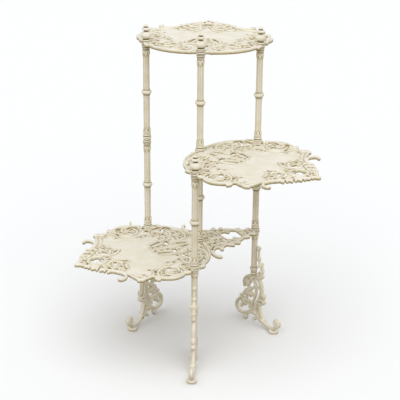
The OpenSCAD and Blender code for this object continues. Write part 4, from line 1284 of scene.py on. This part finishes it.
@dataclass
class ColumnSet:
    """The turned pieces of the columns: sections, posts, collar and finials."""

    shaft_d: float = 19.5
    bead_d: float = 32.0
    bead_h: float = 17.0
    foot_ring_d: float = 28.0
    capital_d: float = 24.0
    capital_h: float = 20.0
    ring_h: float = 4.0
    ring_gap: float = 0.8
    post_d: float = 20.0
    ball_d: float = 32.0
    saucer_d: float = 23.0
    bore: float = 4.3
    corner: float = 0.65

    def _stepped_rings(self, low: float) -> list[tuple[float, ...]]:
        """Draws three rings that grow and step outwards up to a shelf lug.

        Args:
            low: where they start.
        Returns:
            Their part of the profile.
        """
        groove, cap = self.shaft_d / 2 + 0.3, self.capital_d / 2
        return [(cap - 0.6, low + 0.2, low + 2.6), (groove, low + 2.9), (groove, low + 4.4),
                (cap + 0.5, low + 4.8, low + 7.6), (groove + 0.2, low + 8.0),
                (groove + 0.2, low + 9.5), (cap + 1.4, low + 9.9, low + 13.4)]

    def _bead(self, middle: float) -> list[tuple[float, float]]:
        """Draws the bead: a full lens between two thin rings.

        Args:
            middle: the height of its middle.
        Returns:
            Its part of the profile.
        """
        core, r = self.shaft_d / 2 + 0.9, self.bead_d / 2
        half = ((0.1, 9.4), (0.8, 8.7), (0.2, 7.8), (0.0, 7.3), (1.4, 6.3), (2.8, 5.0), (4.0, 3.4))
        lower = [(core + out, middle - z) for out, z in half]
        upper = [(core + out, middle + z) for out, z in half[:2:-1]]
        return lower + [(r - 0.4, middle - 1.6), (r, middle), (r - 0.4, middle + 1.6)] + upper

    def section(self, length: float) -> Shell:
        """Turns a column section: rings, leaves, the bead in the middle, leaves and rings.

        Args:
            length: its length.
        Returns:
            The section with its foot at z = 0.
        """
        shaft, foot, cap = self.shaft_d / 2 + self.corner, self.foot_ring_d / 2, self.capital_d / 2
        mid, half = length / 2, self.bead_h / 2 + 1.6
        low, high = 11.4, length - 3 * self.ring_h - 3 * self.ring_gap
        leaf, hang = low + self.capital_h - 1, high - self.capital_h * 0.85
        shape = (
            (self.bore, 0), (foot - 0.7, 0), (foot, 0.7), (foot - 0.3, 1.7), (cap + 0.2, 3.6),
            (cap - 1.9, 4.2), (cap - 2.0, 5.2), (cap + 0.9, 5.4, 11.0), (cap - 1.2, 11.2),
            (shaft - 0.2, low), (shaft - 0.2, leaf),
            (shaft, mid - half), *self._bead(mid), (shaft, mid + half),
            (shaft - 0.2, hang), (shaft - 0.2, high), *self._stepped_rings(high),
            (cap - 0.6, length - 0.4), (cap - 0.8, length), (self.bore, length),
        )
        rings = (
            LeafRing(low, leaf, 2.6),
            LeafRing(low, low + self.capital_h * 0.52, 2.4, offset=0.5),
            LeafRing(hang, high, 2.5, way=LeafWay.DOWN),
            LeafRing(high - self.capital_h * 0.42, high, 2.3, offset=0.5, way=LeafWay.DOWN),
        )
        flats = ((leaf - 1, mid - half - 1, 0.5), (mid + half + 1, hang, 0.5))
        marks = ((4.6, 1.2), (high, 0.9), (high + 3.6, 1.1), (high + 8.7, 1.1), (length - 0.2, 1.1),
                 (mid - 7.4, 1.5), (mid + 8.0, 0.5))
        return Turning(shape, self.bore, rings, flats, marks, film=0.13, pitch=1.1,
                       sides=72).shell()

    def post(self, length: float) -> Shell:
        """Turns a plain post with leaves under its top ring.

        Args:
            length: its length.
        Returns:
            The post with its foot at z = 0.
        """
        r, cap, ring = self.post_d / 2, self.capital_d / 2, self.ring_h
        high = length - ring
        leaf = self.capital_h * 0.7
        shape = ((self.bore, 0), (r - 0.6, 0), (r, 0.6), (r, high - leaf), (r + 0.6, high - 2),
                 (r + 0.2, high - 0.4), (cap + 0.5, high + 0.2, length - 0.2),
                 (cap - 1, length), (self.bore, length))
        rings = (LeafRing(high - leaf, high, 2.2, way=LeafWay.DOWN),
                 LeafRing(high - leaf * 0.55, high, 2.2, offset=0.5, way=LeafWay.DOWN))
        flats = ((9, high - leaf, 0.5),)
        return Turning(shape, self.bore, rings, flats, ((high - 0.2, 1.0), (9, 1.2)),
                       film=0.09, pitch=1.1, sides=72).shell()

    def collar(self, height: float) -> Shell:
        """Turns the collar that stands in for a lug.

        Args:
            height: its height.
        Returns:
            The collar with its foot at z = 0.
        """
        cap, neck, top = self.capital_d / 2, self.shaft_d / 2 + 0.4, self.foot_ring_d / 2 - 0.8
        h = height
        shape = ((self.bore, 0), (neck, 0), (cap + 0.6, 0.4, h * 0.36), (neck, h * 0.42),
                 (neck, h * 0.5), (top, h * 0.56, h - 0.5), (neck, h), (self.bore, h))
        return Turning(shape, self.bore, grime_and_shade=((h * 0.46, 1.3), (0.2, 0.9), (h, 0.9)),
                       pitch=0.8).shell()

    def finial(self, height: float) -> Shell:
        """Turns a finial: flange, flattened ball, neck, saucer and button.

        The ball lies at radius cos(a) and height sin(a), its lower half drawn in by
        cos(a)^1.3.

        Args:
            height: its height.
        Returns:
            The finial with its foot at z = 0.
        """
        ball, tall, seat, neck = self.ball_d / 2, self.ball_d * 0.4, 7.0, self.ball_d / 2 - 10
        saucer, middle, disc = self.saucer_d / 2 + 0.8, 5.6 + 0.9 * tall, height - 13.5
        button, cap_h = self.saucer_d * 0.31, 4.0
        t = np.radians(np.linspace(-math.degrees(math.acos(seat / ball)),
                                   math.degrees(math.acos(neck / ball)), 19))
        belly = [(ball * math.cos(a) ** (1.3 if a < 0 else 1), middle + tall * math.sin(a))
                 for a in t]
        t = np.radians(np.linspace(-45, 90, 12))
        knob = [(button * math.cos(a), height - cap_h + cap_h * math.sin(a)) for a in t[:-1]]
        high = middle + tall
        shape = ((0, 22), (4.1, 22), (4.1, 0), (13.4, 0.2, 4.0), (9.6, 4.6), *belly,
                 (neck - 0.4, high + 0.6), (neck, high + 1.4), (saucer - 4.2, high + 2.4),
                 (saucer - 1.8, high + 3.8), (saucer, high + 4, high + 9),
                 (saucer - 3, disc + 4.2), (button - 2.2, disc + 5.6), *knob, (0, height))
        marks = ((0.2, 0.7), (5.0, 0.8), (high + 1.2, 1.0), (disc + 5.2, 0.8))
        return Turning(shape, grime_and_shade=marks, pitch=1.0).shell()


@dataclass(frozen=True)
class PhotoCamera:
    """Camera at the photograph's place: turns in degrees, lengths in metres."""

    place: tuple[float, float, float] = (0.2055, -3.19928, 1.7295)
    heading: float = 3.7
    dip: float = 21.71
    roll: float = 0.485
    lens: float = 99.0

    def build(self) -> None:
        """Adds the camera, which first looks straight down and is turned by each angle."""
        data = bpy.data.cameras.new("photo_camera")
        data.lens = self.lens
        data.sensor_width = 36.0
        camera = bpy.data.objects.new("photo_camera", data)
        camera.matrix_world = Matrix.Translation(self.place)
        for angle, axis in ((self.heading, "Z"), (90 - self.dip, "X"), (self.roll, "Z")):
            camera.matrix_world @= Matrix.Rotation(math.radians(angle), 4, axis)
        bpy.context.scene.collection.objects.link(camera)
        bpy.context.scene.camera = camera


class Lights(Enum):
    """What a lamp lights; everything still blocks its light."""

    FLOOR = "INCLUDE"
    ALL_BUT_FLOOR = "EXCLUDE"


@dataclass(frozen=True)
class Lamp:
    """A wide lamp: how much light reaches a level surface that faces it, how wide it looks,
    and how far it leans towards +X and +Y from straight above, in degrees."""

    name: str
    strength: float
    width: float
    lean: tuple[float, float]
    lights: Lights

    def build(self, floor: bpy.types.Object) -> None:
        """Adds the lamp.

        Args:
            floor: the floor; a collection that holds only it says what the lamp lights.
        """
        group = bpy.data.collections.new(self.name + "_receivers")
        group.objects.link(floor)
        group.collection_objects[0].light_linking.link_state = self.lights.value
        data = bpy.data.lights.new(self.name, "SUN")
        data.energy = self.strength
        data.angle = math.radians(self.width)
        lamp = bpy.data.objects.new(self.name, data)
        x, y = (math.tan(math.radians(v)) for v in self.lean)
        lamp.rotation_euler = Vector((x, y, 1)).to_track_quat("Z", "Y").to_euler()
        bpy.context.scene.collection.objects.link(lamp)
        lamp.light_linking.receiver_collection = group


@dataclass(frozen=True)
class Studio:
    """Plain studio: a white floor, an even white room, two soft front lamps for the stand and
    a wide overhead one for the floor's shadow."""

    horizon: float = 0.5
    zenith: float = 0.98
    front: float = 1.05
    back: float = 0.7
    lamps: tuple[Lamp, ...] = (
        Lamp("key_lamp", 0.75, 40, (-25, -45), Lights.ALL_BUT_FLOOR),
        Lamp("fill_lamp", 0.5, 50, (40, -40), Lights.ALL_BUT_FLOOR),
        Lamp("overhead_lamp", 1.6, 70, (3, -26), Lights.FLOOR),
    )
    floor_half: float = 40.0

    def build(self) -> None:
        """Adds the floor, the world and the lamps."""
        half = self.floor_half
        mesh = bpy.data.meshes.new("studio_floor")
        corners = [(-half, -half, 0), (half, -half, 0), (half, half, 0), (-half, half, 0)]
        mesh.from_pydata(corners, [], [(0, 1, 2, 3)])
        mesh.materials.append(StudioFloor().material())
        floor = bpy.data.objects.new("studio_floor", mesh)
        bpy.context.scene.collection.objects.link(floor)
        self._world()
        for lamp in self.lamps:
            lamp.build(floor)

    def _world(self) -> None:
        """Makes the room white to the eye; it sheds more from above and from the front."""
        world = bpy.data.worlds.new("studio_room")
        bpy.context.scene.world = world
        add = emptied(world)
        ray = add("TexCoord").outputs["Generated"]
        way = add("SeparateXYZ", {"Vector": ray}).outputs
        dome = add("MapRange", {"Value": way["Z"], "To Min": self.horizon, "To Max": self.zenith})
        side = add("MapRange", {"Value": way["Y"], "From Min": -1.0, "To Min": self.front,
                                "To Max": self.back})
        room = add("Math", {0: dome, 1: side}, operation="MULTIPLY")
        level = add("Mix", {0: seen_directly(add), 2: room, 3: 1.0})
        shade = add("Background", {"Color": linear("#FFFFFF"), "Strength": level})
        add("OutputWorld", {"Surface": shade})


@dataclass
class PlantStand:
    """The whole stand: finds its sizes in the frame and builds its pieces in order."""

    dresser: Dresser
    centre: Spot
    directions: dict[str, float] = field(default_factory=lambda: {
        "bottom_shelf": -150.0, "middle_shelf": -30.0, "top_shelf": 90.0})
    leg_turns: dict[str, float] = field(default_factory=lambda: {
        "front": -90.0, "left": -117.0, "right": -45.0})
    cast_crease: float = 65.0
    turned_crease: float = 50.0

    def shelves(self) -> None:
        """Builds the three shelves and the stretcher."""
        front = Spot.of("front_section")
        casting = ShelfCasting(math.hypot(front.x - self.centre.x, front.y - self.centre.y))
        plate = casting.plate()
        pieces = {node: (node, casting.shell(plate, node == "bottom_shelf"))
                  for node in self.directions}
        pieces["stretcher"] = ("bottom_shelf", StretcherCasting(casting).shell())
        for node, (shelf, shell) in pieces.items():
            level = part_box(shelf)[1][2] / MM - casting.lug_h / 2
            shell = shell.turned(self.directions[shelf]).moved(self.centre.x, self.centre.y, level)
            self.dresser.add(node + "_casting", shell, node, crease=self.cast_crease)

    def legs(self) -> None:
        """Builds the three legs under their posts."""
        post = Spot.of("front_post")
        leg = LegCasting(post.low + LegCasting.cup_depth - LegCasting.gap).shell()
        for name, turn in self.leg_turns.items():
            spot = Spot.of(name + "_post")
            self.dresser.add(name + "_leg_casting", leg.turned(turn).moved(spot.x, spot.y, 0),
                             name + "_leg", crease=self.cast_crease)

    def columns(self) -> None:
        """Builds the sections, posts, collar and finials where their nodes stand."""
        turned = ColumnSet()
        makers = {"section": turned.section, "post": turned.post, "collar": turned.collar,
                  "finial": turned.finial}
        made: dict[str, Shell] = {}
        for node in sorted(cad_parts):
            kind = node.rsplit("_", 1)[-1]
            if kind not in makers:
                continue
            spot = Spot.of(node)
            size = f"{kind} {spot.high - spot.low:.1f}"
            if size not in made:
                made[size] = makers[kind](spot.high - spot.low)
            self.dresser.add(node + "_turned", made[size].moved(spot.x, spot.y, spot.low), node,
                             crease=self.turned_crease)

    def fixings(self) -> None:
        """Gives the rods, the washer and the nut their plated steel."""
        steel = PlatedSteel().material()
        for node in sorted(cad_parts):
            if node.rsplit("_", 1)[-1] in ("rod", "washer", "nut"):
                for slot in bpy.data.objects[node].material_slots:
                    slot.material = steel


def main() -> None:
    """Builds the stand, the studio and the camera."""
    logging.basicConfig(level=logging.INFO, format="%(name)s: %(message)s")
    scene = bpy.context.scene
    scene.view_settings.view_transform = "Standard"
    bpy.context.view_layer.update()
    PhotoCamera().build()
    Studio().build()
    stand = PlantStand(Dresser(PaintedCastIron().material()), Spot.of("centre_upper_section"))
    stand.shelves()
    stand.legs()
    stand.columns()
    stand.fixings()


if __name__ == "__main__":
    main()
